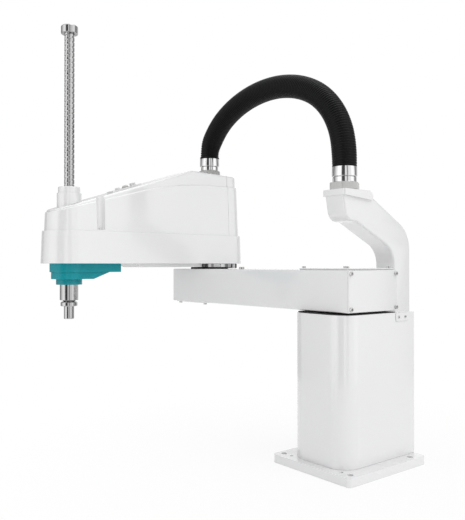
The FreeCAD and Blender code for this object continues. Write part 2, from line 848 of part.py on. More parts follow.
def make_arm_1_screws():
    size = (s.screw_head_radius, s.cap_screw_height)
    heads = []
    inset = s.end_screw_inset + s.arm_1_edge
    top_of_cover = top_cover_bottom + s.top_cover_thickness
    below = arm_1_bottom - s.belly_thickness
    for side in (-1, 1):
        for z in (arm_1_bottom + inset, arm_1_top - inset):
            heads.append(button_head("end_screw", *size, side * (s.arm_1_half_width - s.end_screw_inset),
                                     s.arm_1_back, z, axis=(1, 0, 0), degrees=-90))
        for y in (s.top_cover_start + inset, s.top_cover_end - inset):
            heads.append(button_head("top_screw", *size, side * (top_cover_half - inset), y, top_of_cover))
        for y in (second_y - s.belly_end + inset, second_y + s.belly_start - inset):
            heads.append(button_head("belly_screw", *size, side * (s.belly_half_width - inset), y, below,
                                     axis=(1, 0, 0), degrees=180))
    return group("arm_1_screws", *heads)


def make_stop_stud():
    return rod("arm_1_stud", s.stud_radius, (arm_1_top, arm_1_top + s.stud_height), s.stud_x, s.stud_y)


# Second joint
def make_second_reducer():
    bottom = arm_1_top - s.second_reducer_depth
    rim_top = arm_1_top - s.arm_1_wall
    bore = s.second_shaft_radius + s.shaft_play
    return turned("second_reducer", [
        (bore, bottom), (s.second_reducer_radius, bottom),
        (s.second_reducer_radius, rim_top - s.second_reducer_rim_height),
        (s.second_reducer_rim, rim_top - s.second_reducer_rim_height), (s.second_reducer_rim, rim_top),
        (s.second_reducer_radius, rim_top), (s.second_reducer_radius, arm_1_top), (bore, arm_1_top)],
        0, second_y)


def make_seal_ring():
    return tube("seal_ring", s.seal_radius, s.seal_bore, (arm_1_top, seal_top), 0, second_y)


def make_second_flange():
    shaft_bottom = arm_1_top - s.second_shaft_depth
    return turned("second_flange", [
        (0, shaft_bottom), (s.second_shaft_radius, shaft_bottom), (s.second_shaft_radius, second_flange_bottom),
        (s.second_flange_radius, second_flange_bottom), (s.second_flange_radius, arm_2_bottom),
        (0, arm_2_bottom)], 0, second_y)


housing_floor_top = arm_2_bottom + s.housing_floor


def make_second_motor():
    span = (housing_floor_top, housing_floor_top + s.second_motor_length)
    return motor("second_motor", s.second_motor_half_width, span, 0, second_y)


# Arm 2: outlines with a round nose, straight sides and a rounded square back
def drafted_outline(name, inset, z, draft):
    """A drafted block on arm 2's outline, set in from the housing's bottom outline."""
    nose = s.housing_nose - inset
    back = -s.housing_back + inset
    corner = s.housing_corner - inset
    body = doc.addObject("PartDesign::Body", name)
    sketch = new_sketch(body, "XY_Plane")
    up = FreeCAD.Vector(0, 0, 1)
    x, r, b, c = shaft_x.value, nose.value, back.value, corner.value
    quarter = math.pi / 2

    def arc(centre_x, centre_y, radius, start, end):
        circle = Part.Circle(FreeCAD.Vector(centre_x, centre_y, 0), up, radius)
        sketch.addGeometry(Part.ArcOfCircle(circle, start, end))

    def line(x_1, y_1, x_2, y_2):
        sketch.addGeometry(Part.LineSegment(FreeCAD.Vector(x_1, y_1, 0), FreeCAD.Vector(x_2, y_2, 0)))

    arc(x, 0, r, -quarter, quarter)
    line(x, r, b + c, r)
    arc(b + c, r - c, c, quarter, 2 * quarter)
    line(b, r - c, b, c - r)
    arc(b + c, c - r, c, 2 * quarter, 3 * quarter)
    line(b + c, -r, x, -r)
    ends = [(0, 2, 1, 1), (1, 2, 2, 1), (2, 2, 3, 1), (3, 2, 4, 1), (4, 2, 5, 1), (5, 2, 0, 1)]
    for first, first_end, second, second_end in ends:
        sketch.addConstraint(Sketcher.Constraint("Tangent", first, first_end, second, second_end))
    sketch.addConstraint(Sketcher.Constraint("Horizontal", 1))
    sketch.addConstraint(Sketcher.Constraint("PointOnObject", 0, 3, -1))
    hold(sketch, "DistanceX", -1, 1, 0, 3, size=shaft_x)
    hold(sketch, "Radius", 0, size=nose)
    hold(sketch, "Radius", 2, size=corner)
    sketch.addConstraint(Sketcher.Constraint("Equal", 2, 4))
    hold(sketch, "DistanceX", -1, 1, 3, 1, size=back)
    pad = body.newObject("PartDesign::Pad", name + "_pad")
    pad.Profile = sketch
    bind(pad, Length=z[1] - z[0], TaperAngle=-draft)
    return place(body, y=second_y, z=z[0])


def side_profile(name, points):
    """A wide prism on a side view of arm 2, used to shape its top."""
    body, _ = padded(name, "XZ_Plane", points, 4 * s.housing_nose, middle=True)
    return place(body, y=second_y)


def make_arm_2_housing():
    outside = drafted_outline("housing_outside", 0, (arm_2_bottom, parting_height), s.housing_draft)
    inside = drafted_outline("housing_inside", s.housing_wall, (housing_floor_top, parting_height),
                             s.housing_draft)
    keel_bottom = arm_2_bottom - s.keel_depth
    keel, _ = padded("housing_keel", "XZ_Plane", [
        (s.keel_start, keel_bottom), (keel_end, keel_bottom), (keel_toe, arm_2_bottom),
        (s.keel_start, arm_2_bottom)], 2 * s.keel_half_width, middle=True)
    place(keel, y=second_y)
    floor = (arm_2_bottom, housing_floor_top)
    nut_hole = rod("housing_nut_hole", s.bearing_radius, floor, shaft_x, second_y)
    motor_hole = rod("housing_motor_hole", s.sleeve_motor_shaft + s.running_gap, floor, sleeve_motor_x, second_y)
    return cut("arm_2_housing", fused("housing_solid", outside, keel), inside, nut_hole, motor_hole)


top_profile_front = shaft_x + s.housing_nose


def top_points(drop):
    """The cover's top line, from the nose over the slope to the back."""
    return [(top_profile_front, parting_height), (top_profile_front, nose_top - drop),
            (s.slope_foot_x, slope_foot_height - drop), (s.slope_head_x, slope_head_height - drop),
            (-s.housing_back, back_height - drop), (-s.housing_back, parting_height)]


back_run = s.slope_head_x + s.housing_back
seat_top = back_height + s.back_drop * s.housing_back / back_run + s.seat_rise


def make_whole_cover():
    """Cover and rear cover in one, before the seam parts them."""
    z = (parting_height, slope_head_height + s.housing_wall)
    skirt = drafted_outline("cover_skirt", s.cover_step, z, s.cover_draft)
    shoulder = side_profile("shoulder_profile", [
        (top_profile_front, parting_height), (top_profile_front, nose_top - s.shoulder_foot_drop),
        (s.shoulder_knee_x, shoulder_height), (-s.housing_back, shoulder_height),
        (-s.housing_back, parting_height)])
    rounded(shoulder, s.shoulder_bend, middle_near(x=s.shoulder_knee_x, z=shoulder_height))
    lower = common("cover_lower", skirt, shoulder)
    narrow = drafted_outline("cover_narrow", s.cover_step + s.shoulder_inset, z, s.cover_draft)
    upper = common("cover_upper", narrow, side_profile("top_profile", top_points(0)))
    seat = rod("connector_seat", s.seat_radius, (back_height - s.cover_wall, seat_top), 0, second_y)
    cavity_inset = s.cover_step + s.shoulder_inset + s.cover_wall
    cavity = common("cover_cavity", drafted_outline("cavity_outline", cavity_inset, z, s.cover_draft),
                    side_profile("cavity_profile", top_points(s.cover_wall)))
    pockets, linings = [], []
    pocket_top = slope_head_height
    for side in (-1, 1):
        y = second_y + side * (s.housing_nose - s.cover_step)
        for kept, extra in ((pockets, 0), (linings, s.pocket_wall)):
            cone = doc.addObject("Part::Cone", "pocket")
            bottom = parting_height + s.pocket_floor - extra
            bind(cone, Radius1=s.pocket_radius + extra, Radius2=s.pocket_flare + extra, Height=pocket_top - bottom)
            kept.append(place(cone, s.pocket_x, y, bottom))
    tower_hole = rod("cover_tower_hole", s.tower_radius + s.running_gap, z, shaft_x, second_y)
    hollow = cut("cover_hollow", cavity, *linings)
    whole = fused("cover_solid", lower, upper, seat)
    return cut("whole_cover", whole, hollow, tower_hole, *pockets)


def make_covers(whole):
    sides = (second_y - 2 * s.housing_nose, second_y + 2 * s.housing_nose)
    z = (parting_height, slope_head_height + s.housing_wall)
    front = block("cover_front_side", (s.rear_cover_seam + s.rear_cover_gap, 2 * shaft_x), sides, z)
    rear = block("cover_rear_side", (-2 * s.housing_back, s.rear_cover_seam), sides, z)
    cover = common("arm_2_cover", whole, front)
    rear_cover = common("arm_2_rear_cover", whole, rear)
    return cover, rear_cover


def make_tower():
    span = (nose_top - s.tower_start, tower_top)
    return tube("shaft_tower", s.tower_radius, s.tower_bore, span, shaft_x, second_y)


def make_tower_cap():
    span = (tower_top, tower_top + s.tower_cap_height)
    return tube("tower_cap", s.tower_cap_radius, s.wiper_bore, span, shaft_x, second_y)


def make_arm_2_screws():
    heads = []
    for side in (-1, 1):
        y = second_y + side * (s.housing_nose - s.cover_step - s.screw_head_radius)
        heads.append(button_head("pocket_screw", s.screw_head_radius, s.screw_head_height, s.pocket_x, y,
                                 parting_height + s.pocket_floor))
    return group("arm_2_screws", *heads)


# Painted housing under the nose, with a tail that covers the belt
bell_bottom = arm_2_bottom - s.bell_depth
bell_step_bottom = bell_bottom - s.bell_step_depth
bell_neck_bottom = bell_step_bottom - s.bell_neck_depth


def make_spline_housing():
    top = arm_2_bottom
    bell = rod("bell", s.bell_radius, (bell_bottom, top), shaft_x, second_y)
    step = rod("bell_step", s.bell_step_radius, (bell_step_bottom, bell_bottom), shaft_x, second_y)
    neck = rod("bell_neck", s.bell_neck_radius, (bell_neck_bottom, bell_step_bottom), shaft_x, second_y)
    tail, _ = padded("bell_tail", "XY_Plane", rectangle((tail_end, shaft_x), (
        -s.tail_half_width, s.tail_half_width)), top - bell_bottom)
    at_end = middle_near(x=tail_end)
    rounded(tail, s.tail_corner, lambda edge: upright(edge) and at_end(edge))
    place(tail, y=second_y, z=bell_bottom)
    ramp, _ = padded("bell_ramp", "XZ_Plane", [
        (shaft_x, bell_step_bottom), (shaft_x - s.tail_ramp_near, bell_step_bottom),
        (shaft_x - s.tail_ramp_far, bell_bottom),
        (shaft_x, bell_bottom)], 2 * s.tail_ramp_half_width, middle=True)
    place(ramp, y=second_y)
    cavity = (top - s.bell_cavity_height, top)
    round_room = rod("bell_room", s.bell_cavity, cavity, shaft_x, second_y)
    tail_room = block("tail_room", (tail_end + s.tail_wall, shaft_x),
                      (second_y - s.tail_half_width + s.tail_wall, second_y + s.tail_half_width - s.tail_wall), cavity)
    bore = rod("bell_bore", s.bell_bore, (bell_neck_bottom, top), shaft_x, second_y)
    return cut("spline_housing", fused("bell_solid", bell, step, neck, tail, ramp), round_room, tail_room, bore)


# Sleeve that turns the shaft, with its pulley, bearing, belt and motor
sleeve_bottom = bell_neck_bottom - s.sleeve_below


def make_sleeve():
    bore = s.shaft_radius + s.shaft_play
    shoulder, top = arm_2_bottom - s.sleeve_shoulder_depth, arm_2_bottom + s.sleeve_above
    return turned("spline_sleeve", [
        (bore, sleeve_bottom), (s.sleeve_radius, sleeve_bottom), (s.sleeve_radius, shoulder),
        (s.sleeve_neck, shoulder), (s.sleeve_neck, top), (bore, top)], shaft_x, second_y)


sleeve_pulley_bottom = arm_2_bottom - s.sleeve_pulley_depth
nut_pulley_bottom = arm_2_bottom + s.nut_pulley_lift
sleeve_pulley_span = (sleeve_pulley_bottom, sleeve_pulley_bottom + s.pulley_width)
nut_pulley_span = (nut_pulley_bottom, nut_pulley_bottom + s.pulley_width)
bridge_bottom = arm_2_bottom + s.bridge_lift
bridge_top = bridge_bottom + s.bridge_thickness


def make_pulleys():
    sleeve_pulley = tube("sleeve_pulley", s.sleeve_pulley_radius, s.sleeve_neck, sleeve_pulley_span,
                         shaft_x, second_y)
    nut_pulley = tube("nut_pulley", s.nut_pulley_radius, s.nut_radius, nut_pulley_span, shaft_x, second_y)
    sleeve_motor_pulley = turned("sleeve_motor_pulley", [
        (0, sleeve_pulley_span[0]), (s.sleeve_motor_pulley_radius, sleeve_pulley_span[0]),
        (s.sleeve_motor_pulley_radius, sleeve_pulley_span[1]), (s.sleeve_motor_shaft, sleeve_pulley_span[1]),
        (s.sleeve_motor_shaft, housing_floor_top - s.running_gap), (0, housing_floor_top - s.running_gap)],
        sleeve_motor_x, second_y)
    lift_motor_pulley = turned("lift_motor_pulley", [
        (0, nut_pulley_span[0]), (s.lift_motor_pulley_radius, nut_pulley_span[0]),
        (s.lift_motor_pulley_radius, nut_pulley_span[1]), (s.lift_motor_shaft, nut_pulley_span[1]),
        (s.lift_motor_shaft, bridge_top - s.running_gap), (0, bridge_top - s.running_gap)],
        lift_motor_x, second_y)
    return sleeve_pulley, nut_pulley, sleeve_motor_pulley, lift_motor_pulley


def belt(name, big, small, small_x, pulley_span):
    """A closed belt round two pulleys, a little clear of both."""
    distance = shaft_x - small_x
    middle = (pulley_span[0] + pulley_span[1]) / 2
    z = (middle - s.belt_width / 2, middle + s.belt_width / 2)

    def loop(label, offset):
        big_radius, small_radius = big + offset, small + offset
        lean = math.asin((big_radius.value - small_radius.value) / distance.value)
        body = doc.addObject("PartDesign::Body", label)
        sketch = new_sketch(body, "XY_Plane")
        up = FreeCAD.Vector(0, 0, 1)
        start = math.pi / 2 + lean
        tangent = FreeCAD.Vector(math.cos(start), math.sin(start), 0)
        far = FreeCAD.Vector(-distance.value, 0, 0)
        top = (far + tangent * small_radius.value, tangent * big_radius.value)
        low = [FreeCAD.Vector(point.x, -point.y, 0) for point in top]
        sketch.addGeometry(Part.ArcOfCircle(Part.Circle(FreeCAD.Vector(), up, big_radius.value), -start, start))
        sketch.addGeometry(Part.LineSegment(top[1], top[0]))
        circle = Part.Circle(far, up, small_radius.value)
        sketch.addGeometry(Part.ArcOfCircle(circle, start, 2 * math.pi - start))
        sketch.addGeometry(Part.LineSegment(low[0], low[1]))
        for first, second in ((0, 1), (1, 2), (2, 3), (3, 0)):
            sketch.addConstraint(Sketcher.Constraint("Tangent", first, 2, second, 1))
        sketch.addConstraint(Sketcher.Constraint("Coincident", 0, 3, -1, 1))
        sketch.addConstraint(Sketcher.Constraint("PointOnObject", 2, 3, -1))
        hold(sketch, "DistanceX", -1, 1, 2, 3, size=-distance)
        hold(sketch, "Radius", 0, size=big_radius)
        hold(sketch, "Radius", 2, size=small_radius)
        pad = body.newObject("PartDesign::Pad", label + "_pad")
        pad.Profile = sketch
        bind(pad, Length=z[1] - z[0])
        return place(body, shaft_x, second_y, z[0])

    outer = loop(name + "_outer", s.running_gap + s.belt_thickness)
    return cut(name, outer, loop(name + "_inner", s.running_gap))


def make_bearings():
    floor = (arm_2_bottom, arm_2_bottom + s.bearing_height)
    low = tube("sleeve_bearing", s.bearing_radius, s.sleeve_neck + s.shaft_play, floor, shaft_x, second_y)
    z = (bridge_bottom, bridge_top)
    high = tube("nut_bearing", s.nut_bearing_radius, s.nut_radius + s.shaft_play, z, shaft_x, second_y)
    return group("shaft_bearings", low, high)


def make_sleeve_motor():
    span = (housing_floor_top, housing_floor_top + s.sleeve_motor_length)
    return motor("sleeve_motor", s.sleeve_motor_half_width, span, sleeve_motor_x, second_y)


# Ball nut that lifts the shaft, with its bridge and motor
def make_ball_nut():
    bottom = arm_2_bottom + s.nut_lift
    return tube("ball_nut", s.nut_radius, s.shaft_radius + s.shaft_play, (bottom, bottom + s.nut_height),
                shaft_x, second_y)


def make_bridge():
    z = (bridge_bottom, bridge_top)
    half = s.bridge_half_width
    plate = block("bridge_plate", (bridge_start, shaft_x), (second_y - half, second_y + half), z)
    end = rod("bridge_end", half, z, shaft_x, second_y)
    post_y = half - s.bridge_post_radius
    posts = [rod("bridge_post", s.bridge_post_radius, (housing_floor_top, bridge_bottom), x, second_y + side * post_y)
             for x in (bridge_start + s.bridge_post_inset, shaft_x - s.bearing_radius) for side in (-1, 1)]
    bearing_hole = rod("bridge_bearing_hole", s.nut_bearing_radius, z, shaft_x, second_y)
    shaft_hole = rod("bridge_shaft_hole", s.lift_motor_shaft + s.running_gap, z, lift_motor_x, second_y)
    room = s.sleeve_motor_half_width + 1
    motor_hole = block("bridge_motor_hole", (sleeve_motor_x - room, sleeve_motor_x + room),
                       (second_y - room, second_y + room), z)
    return cut("lift_bridge", fused("bridge_solid", plate, end, *posts), bearing_hole, shaft_hole, motor_hole)


def make_lift_motor():
    ceiling = height_on_slope(lift_motor_x + s.lift_motor_half_width) - s.cover_wall
    span = (bridge_top, ceiling - s.lift_motor_headroom)
    return motor("lift_motor", s.lift_motor_half_width, span, lift_motor_x, second_y)


# Screw shaft and the two collars that end its stroke
shaft_bottom = bell_neck_bottom - s.shaft_below
shaft_top = tower_top + s.tower_cap_height + s.shaft_above


bottom_collar_top = sleeve_bottom - s.bottom_collar_gap
bottom_collar_bottom = bottom_collar_top - s.bottom_collar_height


def make_screw_shaft():
    r, seat, bore, chamfer = s.shaft_radius, s.tool_seat_radius, s.shaft_bore, s.shaft_chamfer
    return turned("screw_shaft", [
        (bore, shaft_bottom), (seat - chamfer, shaft_bottom), (seat, shaft_bottom + chamfer),
        (seat, bottom_collar_bottom), (r, bottom_collar_bottom), (r, shaft_top - chamfer),
        (r - chamfer, shaft_top), (bore, shaft_top)], shaft_x, second_y)


def collar(name, radius, bottom, height):
    top, chamfer = bottom + height, s.collar_chamfer
    return turned(name, [
        (s.shaft_radius, bottom), (radius - chamfer / 2, bottom), (radius, bottom + chamfer / 2),
        (radius, top - chamfer), (radius - chamfer, top), (s.shaft_radius, top)], shaft_x, second_y)


# Stop under the back of arm 2
def make_stop():
    y = (second_y + s.stop_offset - s.stop_width / 2, second_y + s.stop_offset + s.stop_width / 2)
    z = (arm_2_bottom - s.stop_height, arm_2_bottom)
    end = -s.stop_start - s.stop_length
    stop = block("arm_2_stop", (end, -s.stop_start), y, z)
    bumper = block("stop_bumper", (end - s.bumper_length, end), y, z)
    return stop, bumper


# Panel on the cover's slope, in a frame that lies on the slope
slope_angle = math.degrees(math.atan2(s.slope_rise.value, slope_run.value))
panel_height_here = height_on_slope(s.panel_x)


def on_slope(name, piece):
    """Lays a piece, made about the origin, on the slope."""
    laid = group(name, piece)
    turn(laid, (0, 1, 0), slope_angle)
    return place(laid, s.panel_x, second_y, panel_height_here)


def make_slope_panel():
    half_length, half_width = s.slope_plate_length / 2, s.slope_plate_width / 2
    z = (0, s.slope_plate_thickness)
    plate = block("slope_plate", (-half_length, half_length), (-half_width, half_width), z)
    well = rod("button_well", s.button_radius + s.button_play, z, s.button_place)
    return on_slope("slope_panel", cut("slope_plate_cut", plate, well))


def make_brake_button():
    z = (s.button_bottom, s.button_bottom + s.button_height)
    return on_slope("brake_button", rod("button_solid", s.button_radius, z, s.button_place))


def make_status_lamp():
    base = s.slope_plate_thickness
    dome_radius = s.lamp_radius
    barrel = rod("lamp_barrel", dome_radius, (base, base + s.lamp_height / 2), s.lamp_place)
    cap = doc.addObject("Part::Cone", "lamp_cap")
    bind(cap, Radius1=dome_radius, Radius2=dome_radius * 0.6, Height=s.lamp_height / 2)
    place(cap, s.lamp_place, 0, base + s.lamp_height / 2)
    return on_slope("status_lamp", fused("lamp_solid", barrel, cap))


def make_air_couplers():
    base = s.slope_plate_thickness
    pair = [tube("coupler", s.coupler_radius, s.coupler_radius / 2, (base, base + s.coupler_height),
                 s.coupler_place, side * s.coupler_spread / 2) for side in (-1, 1)]
    laid = group("air_couplers", *pair)
    turn(laid, (0, 1, 0), slope_angle)
    return place(laid, s.panel_x, second_y, panel_height_here)


# Hose connectors: a nut and a socket that stay, and a ferrule that swivels with the hose
def connector(prefix, flats, nut, socket, ferrule, bottom, y):
    nut_height, socket_height, ferrule_height = nut[1], socket[1], ferrule[1]
    nut_top = bottom + nut_height
    nut_piece = hexagon(prefix + "_hose_nut", flats, (bottom, nut_top), s.connector_bore, 0, y)
    socket_top = nut_top + socket_height
    groove = socket_top - s.swivel_groove
    socket_piece = turned(prefix + "_hose_socket", [
        (s.connector_bore, nut_top), (socket[0], nut_top), (socket[0], groove), (s.swivel_neck, groove),
        (s.swivel_neck, socket_top), (s.connector_bore, socket_top)], 0, y)
    ferrule_bottom = socket_top + s.running_gap
    ferrule_piece = tube(prefix + "_hose_ferrule", ferrule[0], s.connector_bore,
                         (ferrule_bottom, ferrule_bottom + ferrule_height), 0, y)
    return nut_piece, socket_piece, ferrule_piece, ferrule_bottom + ferrule_height


# Hose: a route of chosen points in the plane of the two axes, as Y and Z
def make_hose(start_height, end_height):
    start, end = start_height.value, end_height.value
    far = second_y.value
    route = [(0, start), (0, 930), (-32, 1015), (-90, 1081), (-168, 1124), (-256, 1147), (-343, 1152),
             (-430, 1142), (-511, 1118), (-583, 1079), (far + 16, 1026), (far, 989), (far, end)]
    points = [FreeCAD.Vector(0, y, z) for y, z in route]
    edges, here = [], points[0]
    for before, corner, after in zip(points, points[1:], points[2:]):
        into, out = (corner - before), (after - corner)
        turn_angle = into.getAngle(out)
        reach = 0.45 * min(into.Length, out.Length)
        radius = reach / math.tan(turn_angle / 2)
        into.normalize()
        out.normalize()
        arc_start, arc_end = corner - into * reach, corner + out * reach
        centre_way = (out - into).normalize()
        centre = corner + centre_way * math.hypot(radius, reach)
        arc_middle = centre - centre_way * radius
        edges += [Part.LineSegment(here, arc_start).toShape(), Part.Arc(arc_start, arc_middle, arc_end).toShape()]
        here = arc_end
        print("hose bend radius %.0f mm" % radius)
    edges.append(Part.LineSegment(here, points[-1]).toShape())
    path = Part.Wire(edges)
    ring = Part.Wire(Part.Circle(points[0], FreeCAD.Vector(0, 0, 1), s.hose_radius.value).toShape())
    solid = path.makePipeShell([ring], True, False)
    section = math.pi * s.hose_radius.value ** 2
    print("hose length %.0f mm, volume over section times length %.5f" % (path.Length,
                                                                          solid.Volume / (section * path.Length)))
    hose = doc.addObject("Part::Feature", "hose")
    hose.Shape = solid
    return hose


def build():
    pieces = {}

    def add(label, piece):
        piece.Label = label
        pieces[label] = piece

    add("base_plate", make_base_plate())
    add("pedestal_column", make_pedestal())
    add("rear_panel", make_rear_panel())
    add("power_connector", make_power_connector())
    add("signal_connector", make_signal_connector())
    add("air_fittings", make_air_fittings())
    add("cable_duct", make_cable_duct())
    add("duct_collar", make_duct_collar())
    add("side_tab", make_side_tab())
    add("base_screws", make_base_screws())
    add("first_reducer", make_first_reducer())
    add("first_motor", make_first_motor())
    add("pedestal_seal", make_pedestal_seal())
    add("first_flange", make_first_flange())

    add("arm_1_casting", make_arm_1_casting())
    add("arm_1_end_cover", make_end_cover())
    add("arm_1_gasket", make_top_gasket())
    add("arm_1_top_cover", make_top_cover())
    add("arm_1_belly_cover", make_belly_cover())
    add("arm_1_screws", make_arm_1_screws())
    add("arm_1_stud", make_stop_stud())
    add("second_reducer", make_second_reducer())
    add("seal_ring", make_seal_ring())

    add("second_flange", make_second_flange())
    add("second_motor", make_second_motor())
    add("arm_2_housing", make_arm_2_housing())
    cover, rear_cover = make_covers(make_whole_cover())
    add("arm_2_cover", cover)
    add("arm_2_rear_cover", rear_cover)
    add("shaft_tower", make_tower())
    add("tower_cap", make_tower_cap())
    add("arm_2_screws", make_arm_2_screws())
    add("spline_housing", make_spline_housing())
    stop, bumper = make_stop()
    add("arm_2_stop", stop)
    add("stop_bumper", bumper)
    add("slope_panel", make_slope_panel())
    add("brake_button", make_brake_button())
    add("status_lamp", make_status_lamp())
    add("air_couplers", make_air_couplers())

    add("spline_sleeve", make_sleeve())
    names = ("sleeve_pulley", "nut_pulley", "sleeve_motor_pulley", "lift_motor_pulley")
    for label, pulley in zip(names, make_pulleys()):
        add(label, pulley)
    add("sleeve_belt", belt("sleeve_belt", s.sleeve_pulley_radius, s.sleeve_motor_pulley_radius,
                            sleeve_motor_x, sleeve_pulley_span))
    add("lift_belt", belt("lift_belt", s.nut_pulley_radius, s.lift_motor_pulley_radius,
                          lift_motor_x, nut_pulley_span))
    add("shaft_bearings", make_bearings())
    add("sleeve_motor", make_sleeve_motor())
    add("ball_nut", make_ball_nut())
    add("lift_bridge", make_bridge())
    add("lift_motor", make_lift_motor())
    add("screw_shaft", make_screw_shaft())
    add("top_collar", collar("top_collar", s.top_collar_radius, shaft_top - s.shaft_end - s.top_collar_height,
                             s.top_collar_height))
    add("bottom_collar", collar("bottom_collar", s.bottom_collar_radius, bottom_collar_bottom,
                                s.bottom_collar_height))

    base = connector("base", s.base_nut_flats, (0, s.base_nut_height), (s.base_socket_radius, s.base_socket_height),
                     (s.base_ferrule_radius, s.base_ferrule_height), s.collar_top, 0)
    arm = connector("arm", s.arm_nut_flats, (0, s.arm_nut_height), (s.arm_socket_radius, s.arm_socket_height),
                    (s.arm_ferrule_radius, s.arm_ferrule_height), seat_top, second_y)
    for prefix, parts in (("base", base), ("arm", arm)):
        for label, piece in zip(("nut", "socket", "ferrule"), parts):
            add("%s_hose_%s" % (prefix, label), piece)
    add("hose", make_hose(base[3], arm[3]))
    return pieces


def check(pieces):
    doc.recompute()
    failed = [thing.Name for thing in doc.Objects if {"Invalid", "Error"} & set(thing.State)]
    if failed:
        raise RuntimeError("failed: %s" % ", ".join(failed))
    for label, piece in pieces.items():
        if piece.Shape.isNull() or not piece.Shape.isValid() or piece.Shape.Volume <= 0:
            raise RuntimeError("no good shape: %s" % label)


def write(pieces):
    os.makedirs("parts", exist_ok=True)
    for label, piece in pieces.items():
        piece.Shape.exportStep("parts/%s.step" % label)
        print("%-22s %2d solids %10.0f mm3" % (label, len(piece.Shape.Solids), piece.Shape.Volume))


parts = build()
check(parts)
write(parts)
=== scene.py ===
# %% [markdown]
# # A SCARA robot on its pedestal
# The robot is a white machine with satin paint: a pedestal, two arms that swing level, a screw shaft and a
# black ribbed hose that carries its cables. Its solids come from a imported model, which is loaded first.
# This lesson gives each solid a finish, and makes anew the pieces that need finer shapes than a solid holds.

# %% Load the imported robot
import json
import math

import bmesh
import bpy
from mathutils import Matrix, Vector

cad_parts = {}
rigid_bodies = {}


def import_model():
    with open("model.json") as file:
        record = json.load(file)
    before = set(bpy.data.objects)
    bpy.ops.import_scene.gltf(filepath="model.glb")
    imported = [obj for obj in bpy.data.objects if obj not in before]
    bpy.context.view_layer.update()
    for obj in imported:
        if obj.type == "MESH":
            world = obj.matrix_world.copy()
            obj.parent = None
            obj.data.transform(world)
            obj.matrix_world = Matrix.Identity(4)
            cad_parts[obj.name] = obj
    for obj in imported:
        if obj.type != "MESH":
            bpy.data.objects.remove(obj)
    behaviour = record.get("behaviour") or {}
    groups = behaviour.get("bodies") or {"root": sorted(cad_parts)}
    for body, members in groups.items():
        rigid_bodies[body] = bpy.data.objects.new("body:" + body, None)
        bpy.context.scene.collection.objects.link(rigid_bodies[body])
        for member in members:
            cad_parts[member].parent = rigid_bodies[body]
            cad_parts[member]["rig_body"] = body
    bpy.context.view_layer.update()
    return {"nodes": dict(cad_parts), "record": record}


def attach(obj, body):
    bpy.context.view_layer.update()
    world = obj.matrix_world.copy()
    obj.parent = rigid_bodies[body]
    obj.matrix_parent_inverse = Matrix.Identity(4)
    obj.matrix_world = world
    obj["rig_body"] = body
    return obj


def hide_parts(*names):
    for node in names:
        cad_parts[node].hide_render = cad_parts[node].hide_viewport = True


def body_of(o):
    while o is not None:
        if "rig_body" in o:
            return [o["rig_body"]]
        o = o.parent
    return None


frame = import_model()
nodes = frame["nodes"]
slot_of = {part["node"]: part["material_slot"] for part in frame["record"]["subparts"]}
MM = 0.001

# %% [markdown]
# ## Camera
# The photograph is taken with a moderate lens at about the height of the first arm. Its upright edges stay
# upright, so the camera is level to within half a degree. The place comes from the edges of the base plate,
# whose corners lie on the floor at known distances.

# %% Camera
# the place is in metres, and the heading goes from +X toward +Y
CAMERA_PLACE = (1.4202, 1.2466, 0.5741)
CAMERA_HEADING = math.radians(231.14)
CAMERA_TILT = math.radians(0.42)
LENS = 44.64
SENSOR_WIDTH = 36


def placed(name, data):
    """A new object with this data, at the origin."""
    piece = bpy.data.objects.new(name, data)
    bpy.context.scene.collection.objects.link(piece)
    return piece


def pointing(heading, height):
    """The direction at a heading from +X and a height above the horizon, both in radians."""
    level = math.cos(height)
    return Vector((math.cos(heading) * level, math.sin(heading) * level, math.sin(height)))


look_way = pointing(CAMERA_HEADING, CAMERA_TILT)
camera = placed("camera", bpy.data.cameras.new("camera"))
camera.location = CAMERA_PLACE
camera.rotation_euler = look_way.to_track_quat("-Z", "Y").to_euler()
camera.data.lens = LENS
camera.data.sensor_width = SENSOR_WIDTH
camera.data.clip_end = 100
bpy.context.scene.camera = camera
bpy.context.scene.view_settings.view_transform = "Standard"
print("camera looks along", tuple(round(part, 3) for part in look_way))

# %% [markdown]
# ## Node recipes
# A finish or a repeated shape is easier to read as a formula than as a list of nodes. A small class wraps a
# socket and overloads the operators, so that 1 - mask adds its Math node by itself. Every other node comes
# from one method, which takes the node's type, its settings and the values or links of its sockets.


# %% Node recipes
class Field:
    """A number that varies over a shape. Operators on it add Math nodes."""

    def __init__(self, recipe, socket):
        self.recipe = recipe
        self.socket = socket

    def math(self, operation, first, second=0.0):
        return self.recipe.node("ShaderNodeMath", first, second, settings={"operation": operation})

    def part(self, number):
        """One coordinate of a vector."""
        return self.recipe.node("ShaderNodeSeparateXYZ", self, output=number)

    def __add__(self, other):
        return self.math("ADD", self, other)

    __radd__ = __add__

    def __sub__(self, other):
        return self.math("SUBTRACT", self, other)

    def __rsub__(self, other):
        return self.math("SUBTRACT", other, self)

    def __mul__(self, other):
        return self.math("MULTIPLY", self, other)

    __rmul__ = __mul__

    def __truediv__(self, other):
        return self.math("DIVIDE", self, other)

    def __mod__(self, other):
        return self.math("FLOORED_MODULO", self, other)

    def __lt__(self, other):
        return self.math("LESS_THAN", self, other)

    def __gt__(self, other):
        return self.math("GREATER_THAN", self, other)

    def __abs__(self):
        return self.math("ABSOLUTE", self)

    def at_least(self, other):
        return self.math("MAXIMUM", self, other)

    def sine(self):
        return self.math("SINE", self)

    def cosine(self):
        return self.math("COSINE", self)


